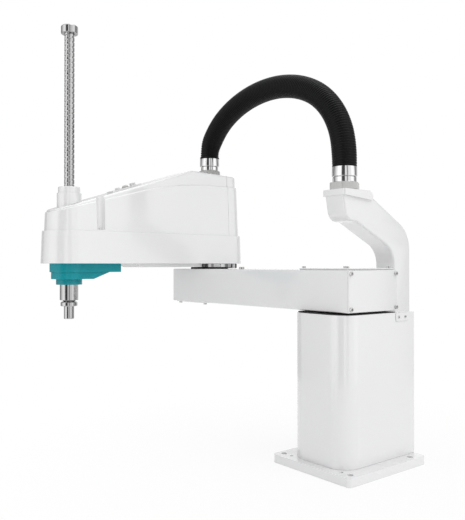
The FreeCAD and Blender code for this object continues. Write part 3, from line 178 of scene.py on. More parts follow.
class Recipe:
    """A node tree that is built by calls."""

    def __init__(self, tree):
        self.tree = tree
        tree.nodes.clear()

    def feed(self, socket, value):
        """Links a field to a socket, or sets the socket's value."""
        if isinstance(value, Field):
            self.tree.links.new(value.socket, socket)
        elif isinstance(value, tuple) and len(value) == 3 and len(socket.default_value) == 4:
            socket.default_value = (*value, 1)
        else:
            socket.default_value = value

    def node(self, kind, *values, output=0, settings=None, stops=(), **named):
        """Adds a node: its settings and ramp stops first, then its sockets in order or by name."""
        node = self.tree.nodes.new(kind)
        for name, value in (settings or {}).items():
            setattr(node, name, value)
        for number, (place, level) in enumerate(stops):
            ramp = node.color_ramp.elements
            stop = ramp[number] if number < 2 else ramp.new(place)
            stop.position = place
            stop.color = (level, level, level, 1)
        for socket, value in zip(node.inputs, values):
            if value is not None:
                self.feed(socket, value)
        for name, value in named.items():
            self.feed(node.inputs[name.replace("_", " ")], value)
        return Field(self, node.outputs[output]) if node.outputs else None

    def eased(self, value, start, end, low, high):
        """A smooth step from low to high while the value goes from start to end."""
        return self.node("ShaderNodeMapRange", value, start, end, low, high,
                         settings={"interpolation_type": "SMOOTHSTEP"})

    def rays(self):
        """Whether a ray comes from the camera, from gloss, and through a clear body."""
        return [self.node("ShaderNodeLightPath", output=number) for number in (0, 3, 6)]

    def finish(self, kind, field):
        """Adds the output node."""
        self.node(kind, field)


# %% [markdown]
# ## Geometry node helpers
# A geometry recipe has named inputs for its sizes. A modifier runs it on a starting mesh. The result is taken
# from the evaluated object as a plain mesh, because an exported model has no modifiers of this kind.


# %% Geometry node helpers
SOCKETS = {int: "NodeSocketInt", float: "NodeSocketFloat", "material": "NodeSocketMaterial",
           "object": "NodeSocketObject"}


def new_shape_recipe(name, **inputs):
    """A geometry node tree, and a dictionary of its inputs as fields."""
    tree = bpy.data.node_groups.new(name, "GeometryNodeTree")
    recipe = Recipe(tree)
    tree.interface.new_socket("Geometry", in_out="OUTPUT", socket_type="NodeSocketGeometry")
    tree.interface.new_socket("Geometry", in_out="INPUT", socket_type="NodeSocketGeometry")
    for label, value in inputs.items():
        kind = SOCKETS[value if isinstance(value, str) else type(value)]
        socket = tree.interface.new_socket(label.replace("_", " "), in_out="INPUT", socket_type=kind)
        if not isinstance(value, str):
            socket.default_value = value
    entry = tree.nodes.new("NodeGroupInput")
    return recipe, {output.name: Field(recipe, output) for output in entry.outputs if output.name}


def grown(recipe, name, start, **values):
    """Runs a geometry recipe on a mesh, and keeps the result as a plain mesh object."""
    piece = placed(name, start)
    modifier = piece.modifiers.new("recipe", "NODES")
    modifier.node_group = recipe.tree
    for item in recipe.tree.interface.items_tree:
        if item.in_out == "INPUT" and item.name.replace(" ", "_") in values:
            modifier[item.identifier] = values[item.name.replace(" ", "_")]
    evaluated = piece.evaluated_get(bpy.context.evaluated_depsgraph_get())
    mesh = bpy.data.meshes.new_from_object(evaluated)
    piece.modifiers.remove(modifier)
    piece.data = mesh
    print(name, "has", len(mesh.polygons), "faces")
    return piece


# %% [markdown]
# ## Finishes
# A finish class adds what most materials need: a soft noise, a blend of two colours and a bump. Another
# helper lets a gloss drift a little around its mean with a noise.
# All patterns read Object coordinates, which stay fixed to a piece while the robot moves.


# %% Finish helper
class Finish(Recipe):
    """A material that is built by calls."""

    def __init__(self, name):
        self.material = bpy.data.materials.new(name)
        self.material.use_nodes = True
        super().__init__(self.material.node_tree)

    def place(self):
        """Object coordinates, which are the node's output 3."""
        return self.node("ShaderNodeTexCoord", output=3)

    def noise(self, scale, detail=2.0):
        return self.node("ShaderNodeTexNoise", self.place(), Scale=scale, Detail=detail)

    def blend(self, mask, low, high):
        """A colour between two, as the mask says. Inputs 6 and 7 of the node are its colours."""
        return self.node("ShaderNodeMix", mask, *[None] * 5, low, high, output=2,
                         settings={"data_type": "RGBA"})

    def darkened(self, mask, colour, share):
        """The colour, times the share where the mask is low."""
        return self.blend(mask, tuple(part * share for part in colour), colour)

    def bump(self, height, depth):
        return self.node("ShaderNodeBump", Height=height, Distance=depth, Strength=1.0)

    def surface(self, **values):
        """Ends the recipe. The values are those of the Principled node."""
        self.finish("ShaderNodeOutputMaterial", self.node("ShaderNodeBsdfPrincipled", **values))
        return self.material


def drifting(mean, noise, amount):
    """A value that follows a noise around its mean."""
    return mean + (noise - 0.5) * amount


# %% [markdown]
# ## Hose
# The black hose arches from the pedestal to the second arm and carries the cables over both joints. It is a
# corrugated tube, so it has fine round ribs. A smooth curve follows the route of the solid. The ribs could be
# a bump, but they show on the outline, so a geometry recipe makes them: it sets the radius along the curve
# with a wave, and sweeps a circle. The hose is drawn in where its ferrules grip it.

# %% Hose route
# each point of the route: its place along Y and its height, in millimetres
HOSE_ROUTE = ((0, 856.0), (0, 930), (-32, 1015), (-90, 1081), (-168, 1124), (-256, 1147), (-343, 1152),
              (-430, 1142), (-511, 1118), (-583, 1079), (-634, 1026), (-650, 989), (-650, 960.74))
route = bpy.data.curves.new("hose route", "CURVE")
route.dimensions = "3D"
line = route.splines.new("NURBS")
line.points.add(len(HOSE_ROUTE) - 1)
for point, (along, height) in zip(line.points, HOSE_ROUTE):
    point.co = (0, along * MM, height * MM, 1)
line.order_u = 3
line.use_endpoint_u = True
route.resolution_u = 60
route_object = placed("hose route", route)
route_mesh = bpy.data.meshes.new_from_object(route_object)
bpy.data.objects.remove(route_object)
route_points = [tuple(point.co) for point in route_mesh.vertices]
hose_length = sum((Vector(b) - Vector(a)).length for a, b in zip(route_points, route_points[1:]))
print("hose length in metres:", round(hose_length, 4))

# %% Hose rubber
rubber = Finish("hose rubber")
dust = rubber.noise(11.0, detail=4.0)
hose_rubber = rubber.surface(Base_Color=rubber.blend(dust, (0.003, 0.003, 0.0033), (0.007, 0.007, 0.0074)),
                             Roughness=drifting(0.36, dust, 0.2), Specular_IOR_Level=0.12,
                             Normal=rubber.bump(rubber.noise(700.0), 0.00005))

# %% Ribbed tube
FULL_NECK = 0.012
FLARE_FROM, FLARE_TO = 0.010, 0.003
FLARE_SHARE = 0.25
FIRST_NECK_LENGTH = 0.05
FIRST_NECK_DEPTH = 0.0006
ribs, size = new_shape_recipe("ribbed tube", Radius=0.0364, Rib_pitch=0.0072, Rib_depth=0.0027,
                              Rings_in_a_rib=6, Neck_depth=0.0034, Neck_length=0.075, Sides=56,
                              Finish="material")
curve = ribs.node("GeometryNodeMeshToCurve", size["Geometry"])
curve = ribs.node("GeometryNodeResampleCurve", curve, settings={"mode": "LENGTH"},
                  Length=size["Rib pitch"] / size["Rings in a rib"])
along = ribs.node("GeometryNodeSplineParameter", output=1)
whole = ribs.node("GeometryNodeCurveLength", curve)
wave = (along / size["Rib pitch"] * math.pi).sine()
valley = (1 - abs(wave)) * (1 - abs(wave))
from_end = whole - along
neck = ribs.eased(from_end, size["Neck length"], FULL_NECK, 0.0, 1.0)
flare = ribs.eased(from_end, FLARE_FROM, FLARE_TO, 1.0, FLARE_SHARE)
first_neck = ribs.eased(along, FIRST_NECK_LENGTH, 0.0, 0.0, FIRST_NECK_DEPTH)
radius = size["Radius"] - valley * size["Rib depth"] - neck * flare * size["Neck depth"] - first_neck
curve = ribs.node("GeometryNodeSetCurveRadius", curve, Radius=radius)
ring = ribs.node("GeometryNodeCurvePrimitiveCircle", Resolution=size["Sides"], Radius=1.0)
tube = ribs.node("GeometryNodeCurveToMesh", curve, ring, Scale=radius, Fill_Caps=True)
tube = ribs.node("GeometryNodeRealizeInstances", tube)
tube = ribs.node("GeometryNodeSetShadeSmooth", tube)
ribs.finish("NodeGroupOutput", ribs.node("GeometryNodeSetMaterial", tube, Material=size["Finish"]))
hose = grown(ribs, "ribbed_hose", route_mesh.copy(), Finish=hose_rubber)
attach(hose, "hose")
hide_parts("hose")

# %% [markdown]
# ## Studio
# The robot stands in a white studio. Wide suns give the light, because they reach the floor evenly as far as
# the horizon. The background is white to the camera. Gloss needs something to mirror, as the lamps and the
# black flags of a photo studio, so glossy rays see upright bands, two of them bright, and a lit ceiling.
# The ceiling draws the fine light lines along the rounded upper edges.

# %% Studio world
studio = bpy.data.worlds.new("studio")
bpy.context.scene.world = studio
studio.use_nodes = True
world = Recipe(studio.node_tree)
# output 0 is the direction of a ray here
direction = world.node("ShaderNodeTexCoord", output=0)
heading = world.node("ShaderNodeMath", direction.part(1), direction.part(0),
                     settings={"operation": "ARCTAN2"})
# bands: the heading of the middle and the half width in degrees, and the level
BANDS = ((-9, 14, 1.45), (31, 13, 0.08), (68, 5, 0.40), (119, 13, 1.35), (160, 13, 0.30), (187, 6, 0.45))
BAND_EDGE = 4
OPEN_LEVEL = 1.05
# a wide flag that is darkest in its middle: heading and level
WIDE_FLAG = ((-124, OPEN_LEVEL), (-114, 0.66), (-84, 0.50), (-74, 0.20), (-66, 0.20), (-60, 0.66),
             (-44, 0.72), (-38, OPEN_LEVEL))
CEILING_FROM, CEILING_TO = 0.80, 0.90
CEILING_LEVEL = 2.3
GROUND_FROM, GROUND_TO = -0.25, 0.05
GROUND_LEVEL = 1.0
PLAIN_LEVEL = 0.80
outline = list(WIDE_FLAG)
for middle, half, level in BANDS:
    outline += [(middle - half - BAND_EDGE, OPEN_LEVEL), (middle - half, level)]
    outline += [(middle + half, level), (middle + half + BAND_EDGE, OPEN_LEVEL)]
stops = sorted((((turn + 180) % 360) / 360, level) for turn, level in outline)
bands = world.node("ShaderNodeValToRGB", heading / math.tau + 0.5, stops=stops)
ceiling = world.node("ShaderNodeMapRange", direction.part(2), CEILING_FROM, CEILING_TO, 1.0, CEILING_LEVEL)
plain = world.node("ShaderNodeMapRange", direction.part(2), GROUND_FROM, GROUND_TO, GROUND_LEVEL,
                   PLAIN_LEVEL)
sky = world.node("ShaderNodeBackground", (1.0, 1.0, 1.0), plain)
flagged = world.node("ShaderNodeBackground", bands, ceiling)
white = world.node("ShaderNodeBackground", (1.0, 1.0, 1.0), 1.0)
camera_ray, glossy_ray, clear_ray = world.rays()
lit = world.node("ShaderNodeMixShader", glossy_ray, sky, flagged)
world.finish("ShaderNodeOutputWorld", world.node("ShaderNodeMixShader", camera_ray + clear_ray, lit, white))
print("bands that gloss mirrors:", len(BANDS))


# %% Studio lamps and floor
def add_sun(name, heading, height, strength, softness):
    """A sun that shines from a heading and a height in degrees. Gloss doesn't mirror it."""
    lamp = placed(name, bpy.data.lights.new(name, "SUN"))
    source = pointing(math.radians(heading), math.radians(height))
    lamp.rotation_euler = source.to_track_quat("Z", "Y").to_euler()
    lamp.data.energy = strength
    lamp.data.angle = math.radians(softness)
    lamp.visible_glossy = False


add_sun("key", 105, 48, 0.85, 50)
add_sun("fill", -20, 40, 0.12, 90)
add_sun("low fill", 15, 5, 0.10, 40)

FLOOR_RADIUS = 1.5
SHADOW_NEAR, SHADOW_FAR = 0.25, 1.1
GLOW_NEAR = 0.88
FLOOR_GREY = (0.86, 0.86, 0.86)
bpy.ops.mesh.primitive_circle_add(vertices=96, radius=FLOOR_RADIUS, fill_type="NGON")
floor = bpy.context.object
floor.name = "floor"
ground = Finish("studio floor")
camera_ray, glossy_ray, clear_ray = ground.rays()
distance = ground.node("ShaderNodeVectorMath", ground.place(), settings={"operation": "LENGTH"}, output=1)
fading = ground.node("ShaderNodeMapRange", distance, SHADOW_NEAR, SHADOW_FAR, GLOW_NEAR, 1.0)
matte = ground.node("ShaderNodeBsdfDiffuse", FLOOR_GREY)
glow = ground.node("ShaderNodeEmission", (1.0, 1.0, 1.0), 1.0)
mirrored = (camera_ray + glossy_ray + clear_ray) * fading
ground.finish("ShaderNodeOutputMaterial", ground.node("ShaderNodeMixShader", mirrored, matte, glow))
floor.data.materials.append(ground.material)
print("floor and three suns are set")

# %% [markdown]
# ## Paint
# The castings and covers carry a smooth satin paint. Real paint is never quite even: a fine orange peel
# breaks up its reflections, and its gloss drifts a little over a large face. Both come from noise, so nothing
# repeats. A clear coat gives the white paint its sheen, and the teal paint has none.


# %% Paint
PEEL_SCALE, PEEL_DEPTH = 260.0, 0.00002
WHITE = (0.80, 0.80, 0.805)
TEAL = (0.002, 0.285, 0.33)


def make_paint(name, colour, gloss, coat=0.8, bending=1.6):
    """A paint: gloss is its roughness, and bending its index of refraction."""
    paint = Finish(name)
    drift = paint.noise(2.2, detail=3.0)
    return paint.surface(Base_Color=paint.darkened(drift, colour, 0.98),
                         Roughness=drifting(gloss, drift, 0.08), IOR=bending, Coat_Weight=coat,
                         Coat_Roughness=0.1, Coat_IOR=1.7,
                         Normal=paint.bump(paint.noise(PEEL_SCALE, detail=1.0), PEEL_DEPTH))


casting_paint = make_paint("casting paint", WHITE, 0.24)
cover_paint = make_paint("cover paint", WHITE, 0.20)
teal_paint = make_paint("teal paint", TEAL, 0.26, coat=0.0, bending=1.36)
print("paints:", casting_paint.name, cover_paint.name, teal_paint.name)

# %% [markdown]
# ## Metals
# The metals differ in how they were worked. Turned steel has fine rings around its axis, which are a noise
# that varies only with height. Cast and plated parts have a grain in all directions.


# %% Metals
RING_SCALE = 2500.0


def make_metal(name, colour, gloss, grain_scale=None, depth=0.000005):
    """A metal with rings around Z, or with a grain in all directions where a scale is given."""
    metal = Finish(name)
    drift = metal.noise(26.0, detail=3.0)
    if grain_scale:
        grain = metal.noise(grain_scale, detail=3.0)
    else:
        grain = metal.node("ShaderNodeTexNoise", settings={"noise_dimensions": "1D"},
                           W=metal.place().part(2) * RING_SCALE, Scale=1.0)
    return metal.surface(Base_Color=metal.darkened(drift, colour, 0.93), Metallic=1.0,
                         Roughness=drifting(gloss, drift, 0.08), Normal=metal.bump(grain, depth))


polished_steel = make_metal("polished steel", (0.76, 0.76, 0.76), 0.08)
ground_steel = make_metal("ground steel", (0.50, 0.50, 0.50), 0.10)
plated_steel = make_metal("plated steel", (0.60, 0.60, 0.59), 0.26, grain_scale=900.0)
cast_alloy = make_metal("cast alloy", (0.60, 0.60, 0.60), 0.50, grain_scale=350.0, depth=0.0001)
# blackened steel is dark partly as a real finish and partly as painted shade: it darkens the parts in the
# narrow gap under the first arm.
blackened_steel = make_metal("blackened steel", (0.03, 0.03, 0.032), 0.45, grain_scale=500.0)
brass = make_metal("brass", (0.78, 0.58, 0.26), 0.22)
print("metals:", polished_steel.name, ground_steel.name, plated_steel.name, cast_alloy.name)

# %% [markdown]
# ## Rubber, plastic and the lamp
# Moulded parts are even in colour and finely textured. Rubber is darkest and dullest. The lamp's lens is
# a milky plastic that lets a little light in.


# %% Rubber and plastic
def make_moulded(name, colour, gloss, scale=600.0, depth=0.00006, **extra):
    """A moulded finish with a fine grain. Extra values go to its surface."""
    moulded = Finish(name)
    drift = moulded.noise(14.0, detail=4.0)
    return moulded.surface(Base_Color=moulded.darkened(drift, colour, 0.85),
                           Roughness=drifting(gloss, drift, 0.15),
                           Normal=moulded.bump(moulded.noise(scale), depth), **extra)


black_rubber = make_moulded("black rubber", (0.012, 0.012, 0.012), 0.62)
black_plastic = make_moulded("black plastic", (0.02, 0.02, 0.021), 0.38)
black_motor = make_moulded("motor coating", (0.016, 0.016, 0.018), 0.42)
grey_plastic = make_moulded("grey plastic", (0.42, 0.42, 0.43), 0.42)
light_plastic = make_moulded("light plastic", (0.74, 0.74, 0.75), 0.36)
lamp_lens = make_moulded("lamp lens", (0.78, 0.77, 0.75), 0.16, depth=0.00001, Transmission_Weight=0.25)
finish_of = {"painted_casting": casting_paint, "white_cover": cover_paint, "teal_casting": teal_paint,
             "steel": ground_steel, "cast_alloy": cast_alloy, "plated_steel": plated_steel,
             "blackened_steel": blackened_steel, "black_rubber": black_rubber, "black_motor": black_motor,
             "black_plastic": black_plastic, "grey_plastic": grey_plastic, "lamp_lens": lamp_lens,
             "brass": brass}
for name, solid in nodes.items():
    solid.data.materials.clear()
    solid.data.materials.append(finish_of[slot_of[name]])
print("finishes by slot:", len(finish_of))

# %% [markdown]
# ## Castings and covers
# The solids have the right shapes, but their meshes are loose flat triangles, so a round corner looks
# faceted, and no real casting has a knife edge. A copy of each is merged, flat areas are joined into single
# faces, and the faces are shaded smooth up to a sharp angle. A bevel then rounds the edges, each by its own
# amount.


# %% Castings and covers
SHARP = math.radians(32)


def stand_in(piece, name, finish=None):
    """The piece takes a node's place: its body and the finish of its slot, or the finish given, and the node
    is hidden.
    """
    slot = slot_of[name]
    piece.data.materials.clear()
    piece.data.materials.append(finish or finish_of[slot])
    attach(piece, body_of(nodes[name])[0])
    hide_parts(name)


def added(piece, body, slot):
    """The piece shows something small that no node holds."""
    piece.data.materials.append(finish_of[slot])
    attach(piece, body)


def soften(piece, width, rounds, weighted):
    """Rounds the sharp edges of a piece with a live bevel.

    The whole width is kept where weights set it, and elsewhere it shrinks where edges crowd.
    """
    bevel = piece.modifiers.new("soft edges", "BEVEL")
    bevel.width = width * MM
    bevel.segments = rounds
    bevel.limit_method = "WEIGHT" if weighted else "ANGLE"
    bevel.angle_limit = SHARP
    bevel.harden_normals = True
    bevel.use_clamp_overlap = not weighted
    bevel.loop_slide = not weighted


def shade(mesh):
    """Smooth faces, apart from edges that turn by more than the sharp angle."""
    mesh.polygons.foreach_set("use_smooth", [True] * len(mesh.polygons))
    mesh.set_sharp_from_angle(angle=SHARP)


def dressed(name, width, rounds=3, share=None, flat=0.3, finish=None):
    """A merged copy of a node with rounded edges, which stands for it.

    share gives each outward edge its part of the width, from the edge's middle in millimetres. Faces that
    meet within the angle flat, in degrees, become one.
    """
    form = bmesh.new()
    form.from_mesh(nodes[name].data)
    bmesh.ops.remove_doubles(form, verts=form.verts, dist=1e-6)
    bmesh.ops.dissolve_limit(form, angle_limit=math.radians(flat), verts=form.verts, edges=form.edges)
    if share:
        weight = form.edges.layers.float.new("bevel_weight_edge")
        for edge in form.edges:
            if edge.is_convex and edge.calc_face_angle(0) > SHARP:
                edge[weight] = share(*((edge.verts[0].co + edge.verts[1].co) / 2 / MM))
    mesh = bpy.data.meshes.new(name + "_finished")
    form.to_mesh(mesh)
    form.free()
    if "custom_normal" in mesh.attributes:
        mesh.attributes.remove(mesh.attributes["custom_normal"])
    shade(mesh)
    piece = placed(name + "_finished", mesh)
    soften(piece, width, rounds, weighted=bool(share))
    stand_in(piece, name, finish)


# the width of the rounding of each piece, in millimetres
# pedestal_seal is a thin dark plate on the pedestal's top, whose dark finish paints the deep shade in the gap
# under the first arm.
EDGES = {"base_plate": 1.2, "pedestal_column": 1.2, "rear_panel": 1.2, "cable_duct": 0.8, "duct_collar": 1.8,
         "side_tab": 1.2, "arm_1_casting": 0.8, "arm_1_end_cover": 1.4, "arm_1_top_cover": 1.2,
         "arm_1_belly_cover": 1.0, "arm_1_gasket": 0.4, "arm_1_stud": 1.0, "arm_2_housing": 1.6,
         "shaft_tower": 1.2, "tower_cap": 1.6, "spline_housing": 1.0, "slope_panel": 1.0, "arm_2_stop": 1.5,
         "stop_bumper": 1.5, "seal_ring": 0.8, "second_flange": 0.8, "first_flange": 0.8,
         "pedestal_seal": 0.4, "top_collar": 0.8, "bottom_collar": 0.8}
OTHER_FINISH = {"slope_panel": cover_paint, "arm_1_gasket": light_plastic}
for name, width in EDGES.items():
    dressed(name, width, finish=OTHER_FINISH.get(name))
print("dressed castings:", len(EDGES))

# %% [markdown]
# ## Covers of the second arm
# The moulded cover is broadly rounded where its side meets the slope, and again along the shoulder below it.
# Both edges shine as light lines. The shoulder and the slope come close together at the nose, so the rounding
# gets narrower there. All other edges of the cover stay nearly sharp.

# %% Covers of the second arm
# all in millimetres, and the rises in millimetres of height for each of length
COVER_ROUND = 8.0
SHOULDER_ROUND = 4.4
FINE_EDGE = 0.1
SHAFT_X, SECOND_Y = 550.0, -650.0
NOSE_X = 636.0
SLOPE_FOOT, SLOPE_RISE = 738.0, 0.319
SLOPE_END_X, BACK_HEIGHT = 118.0, 900.0
SHOULDER_FOOT, SHOULDER_RISE, SHOULDER_TOP = 733.0, 0.276, 857.0
SLOPE_SHARE = 0.7
POCKET_X, POCKET_SIDE = 478.0, 76.0
POCKET_REACH_X, POCKET_REACH_Y = 26.0, 28.0
SEAM_X = -31.0
LOWER_EDGES = 700.0
SHAFT_HOLE, SOCKET_HOLE = 46.0, 48.0
NEAR = 2.0


def cover_share(x, y, z):
    """How much of the widest rounding a cover's edge gets."""
    slope_height = SLOPE_FOOT + (NOSE_X - x) * SLOPE_RISE if x > SLOPE_END_X else BACK_HEIGHT
    shoulder_height = min(SHOULDER_FOOT + (NOSE_X - x) * SHOULDER_RISE, SHOULDER_TOP)
    side = y - SECOND_Y
    at_pocket = abs(x - POCKET_X) < POCKET_REACH_X and abs(abs(side) - POCKET_SIDE) < POCKET_REACH_Y
    at_hole = math.hypot(x - SHAFT_X, side) < SHAFT_HOLE or math.hypot(x, side) < SOCKET_HOLE
    if at_pocket or at_hole or z < LOWER_EDGES or abs(x - SEAM_X) < NEAR:
        return FINE_EDGE
    if z < shoulder_height + NEAR:
        return SHOULDER_ROUND / COVER_ROUND
    return min(1.0, SLOPE_SHARE * (slope_height - shoulder_height) / COVER_ROUND)


for name in ("arm_2_cover", "arm_2_rear_cover"):
    dressed(name, COVER_ROUND, rounds=5, share=cover_share, flat=2.6)
print("covers are rounded by up to", COVER_ROUND, "mm")

# %% [markdown]
# ## Turned parts
# Ferrules, sockets, nuts and collars are turned on a lathe, so each is one outline spun around an axis.
# A helper takes the outline from bottom to top as pairs of radius and height in millimetres. A hexagon is
# the same with a radius that changes around the axis. Small chamfers are in the outlines, because they catch
# the light.


# %% Lathe helper
def hexed(across, limit):
    """The radius of a hexagon with flats facing X, cut back to a circle."""
    sixth = math.pi / 3

    def reach(angle):
        return min(across / 2 / math.cos((angle + sixth / 2) % sixth - sixth / 2), limit)
    return reach


def turned(name, outline, *places, sides=72, hollow=False):
    """A mesh from an outline that is spun around the Z axis of each place. A hollow one closes on itself."""
    form = bmesh.new()
    for place in places:
        rings = []
        for reach, height in outline:
            ring = []
            for number in range(sides):
                angle = math.tau * number / sides
                here = reach(angle) if callable(reach) else reach
                point = Vector((here * math.cos(angle), here * math.sin(angle), height)) * MM
                ring.append(form.verts.new(place @ point))
            rings.append(ring)
        pairs = list(zip(rings, rings[1:])) + ([(rings[-1], rings[0])] if hollow else [])
        for low, high in pairs:
            for number in range(sides):
                after = (number + 1) % sides
                form.faces.new((low[number], low[after], high[after], high[number]))
        if not hollow:
            form.faces.new(rings[0])
            form.faces.new(rings[-1])
    bmesh.ops.recalc_face_normals(form, faces=form.faces)
    mesh = bpy.data.meshes.new(name)
    form.to_mesh(mesh)
    form.free()
    shade(mesh)
    return placed(name, mesh)


def at(x, y, z=0.0):
    """A place in millimetres."""
    return Matrix.Translation(Vector((x, y, z)) * MM)


# %% Hose fittings
def hose_fitting(place, end, heights, across, socket, ferrule):
    """A hex nut, a socket and a ferrule, one on the other.

    The heights are those of the nut's foot and top, the socket's top, and the ferrule's foot and top.
    """
    nut_low, nut_high, socket_high, ferrule_low, ferrule_high = heights
    corner = across / 2 / math.cos(math.pi / 6)
    rim = across / 2 - 0.6
    nut_outline = (
        (rim, nut_low), (hexed(across, corner - 0.6), nut_low + 0.9),
        (hexed(across, corner), nut_low + 2.2), (hexed(across, corner), nut_high - 2.2),
        (hexed(across, corner - 2.2), nut_high - 0.9), (rim, nut_high))
    socket_outline = (
        (socket - 0.7, nut_high), (socket, nut_high + 0.7), (socket, socket_high - 1.0),
        (socket - 1.0, socket_high), (socket - 3.4, socket_high), (socket - 3.4, socket_high + 1.0))
    ferrule_outline = (
        (ferrule - 1.0, ferrule_low), (ferrule, ferrule_low + 1.0), (ferrule, ferrule_high - 1.1),
        (ferrule - 0.4, ferrule_high - 0.3), (ferrule - 1.2, ferrule_high))
    for kind, outline, finish in (("nut", nut_outline, plated_steel),
                                  ("socket", socket_outline, polished_steel),
                                  ("ferrule", ferrule_outline, polished_steel)):
        node = end + "_hose_" + kind
        stand_in(turned(node + "_finished", outline, place, sides=96), node, finish)


hose_fitting(at(0, 0), "base", (789.0, 811.5, 826.3, 827.6, 856.0), across=77.0, socket=35.0, ferrule=36.7)
hose_fitting(at(0, SECOND_Y), "arm", (901.04, 917.9, 931.2, 932.5, 960.7), across=66.0, socket=31.8,
             ferrule=35.5)
print("hose fittings are turned")

# %% [markdown]
# ## Screw shaft
# The shaft is a ball screw and a spline in one: two grooves wind around it as a screw's, and three run along
# it. It lifts and turns the tool. Its surface follows a rule, so a geometry recipe makes it: a flat grid is
# rolled into a cylinder whose radius depends on the angle and the height. The grid's first and last row close
# the ends, down to the bore.

# %% Screw shaft
PLAIN_TOP = 0.004
CHAMFER_HEIGHT, CHAMFER_DEPTH = 0.0004, 0.0006
GROOVE_SHARP = math.radians(50)
shaft, size = new_shape_recipe("grooved shaft", Radius=0.0158, Bore=0.0055, Bottom=0.405, Length=0.921,
                               Rows=480, Sides=96, Lead=0.032, Starts=2, Groove_width=0.0050,
                               Groove_depth=0.0016, Splines=3, Spline_width=0.0034, Spline_depth=0.0010,
                               Seat_length=0.0397, Finish="material")
grid = shaft.node("GeometryNodeMeshGrid", 1.0, 1.0, size["Sides"] + 1, size["Rows"] + 2)
on_grid = Field(shaft, grid.socket.node.outputs[1])
across = on_grid.part(0)
row = on_grid.part(1) * (size["Rows"] + 1)
angle = across * math.tau
inner = (row < 0.5) + (row > size["Rows"] + 0.5)
step = shaft.node("ShaderNodeClamp", (row - 1) / (size["Rows"] - 1), 0.0, 1.0)
height = step * size["Length"]


def groove(offset, width, depth):
    """A round-bottomed groove: how deep it is at a distance from its middle."""
    far = abs(offset) / (width / 2)
    return (1 - far * far).at_least(0.0) * depth


spacing = size["Lead"] / size["Starts"]
thread = ((height / size["Lead"] - across) * size["Starts"] % 1.0 - 0.5) * spacing
spline = (across * size["Splines"] % 1.0 - 0.5) * (size["Radius"] * math.tau / size["Splines"])
cut = groove(thread, size["Groove width"], size["Groove depth"]).at_least(
    groove(spline, size["Spline width"], size["Spline depth"]))
threaded = (height > size["Seat length"]) * (height < size["Length"] - PLAIN_TOP)
chamfered = (height < CHAMFER_HEIGHT) + (height > size["Length"] - CHAMFER_HEIGHT)
outer = size["Radius"] - cut * threaded - chamfered * CHAMFER_DEPTH
reach = outer * (1 - inner) + size["Bore"] * inner
rolled = shaft.node("GeometryNodeSetPosition", grid, Position=shaft.node(
    "ShaderNodeCombineXYZ", reach * angle.cosine(), reach * angle.sine(), height + size["Bottom"]))
bore = shaft.node("GeometryNodeMeshCylinder", size["Sides"], 1, 1, size["Bore"], size["Length"],
                  settings={"fill_type": "NONE"})
bore = shaft.node("GeometryNodeTransform", bore, Translation=shaft.node(
    "ShaderNodeCombineXYZ", 0.0, 0.0, size["Bottom"] + size["Length"] / 2))
joined = shaft.tree.nodes.new("GeometryNodeJoinGeometry")
for side in (bore, rolled):
    shaft.tree.links.new(side.socket, joined.inputs[0])
whole = shaft.node("GeometryNodeMergeByDistance", Field(shaft, joined.outputs[0]), Distance=0.00002)
whole = shaft.node("GeometryNodeTransform", whole, Translation=(SHAFT_X * MM, SECOND_Y * MM, 0.0))
whole = shaft.node("GeometryNodeRealizeInstances", shaft.node("GeometryNodeSetShadeSmooth", whole))
shaft.finish("NodeGroupOutput", shaft.node("GeometryNodeSetMaterial", whole, Material=size["Finish"]))
screw_shaft = grown(shaft, "screw_shaft_grooved", bpy.data.meshes.new("shaft start"), Finish=ground_steel)
form = bmesh.new()
form.from_mesh(screw_shaft.data)
bmesh.ops.recalc_face_normals(form, faces=form.faces)
form.to_mesh(screw_shaft.data)
form.free()
screw_shaft.data.set_sharp_from_angle(angle=GROOVE_SHARP)
stand_in(screw_shaft, "screw_shaft", ground_steel)
print("screw shaft:", len(screw_shaft.data.polygons), "faces")

# %% [markdown]
# ## Sleeve and wiper
# The shaft leaves the arm through a ground steel sleeve, which turns it. A black wiper ring at the sleeve's
# mouth keeps dust out. It shows as a dark line between the sleeve and the collar below.

# %% Sleeve and wiper
sleeve = turned("spline_sleeve_finished", (
    (16.3, 464.3), (17.0, 463.5), (27.6, 463.5), (28.5, 464.4), (28.5, 545.0), (22.0, 545.0), (22.0, 592.0),
    (16.3, 592.0)), at(SHAFT_X, SECOND_Y), sides=96, hollow=True)
stand_in(sleeve, "spline_sleeve")
wiper = turned("shaft_wiper", ((16.05, 459.6), (18.4, 459.6), (19.2, 460.6), (19.2, 463.6), (16.05, 463.6)),
               at(SHAFT_X, SECOND_Y), hollow=True)
added(wiper, "spline_rotor", "black_rubber")
print("sleeve and wiper are turned")

# %% [markdown]
# ## Screw heads
# The robot's visible screws are the same head many times, so one head is turned and a geometry recipe sets it
# on points. Each point says which way its head faces, and a random turn with a fixed seed keeps the hexagons
# from lining up. Instances are made real, because the exported model keeps none.

# %% Screw head recipe
fasteners, size = new_shape_recipe("fasteners", Head="object", Radius=5.6, Height=5.5, Seed=3,
                                   Finish="material")
head = fasteners.node("GeometryNodeObjectInfo", size["Head"], output=4)
spot = fasteners.node("GeometryNodeInputNamedAttribute", "facing", settings={"data_type": "FLOAT_VECTOR"})
stand = fasteners.node("FunctionNodeAlignRotationToVector", Vector=spot, settings={"axis": "Z"})
chance = fasteners.node("FunctionNodeRandomValue", output=1, Seed=size["Seed"])
spin = fasteners.node("FunctionNodeAxisAngleToRotation", (0.0, 0.0, 1.0), chance * math.tau)
stand = fasteners.node("FunctionNodeRotateRotation", stand, spin, settings={"rotation_space": "LOCAL"})
scale = fasteners.node("ShaderNodeCombineXYZ", size["Radius"], size["Radius"], size["Height"])
heads = fasteners.node("GeometryNodeInstanceOnPoints", size["Geometry"], Instance=head, Rotation=stand,
                       Scale=scale)
heads = fasteners.node("GeometryNodeRealizeInstances", heads)
heads = fasteners.node("GeometryNodeSetMaterial", heads, Material=size["Finish"])
fasteners.finish("NodeGroupOutput", heads)

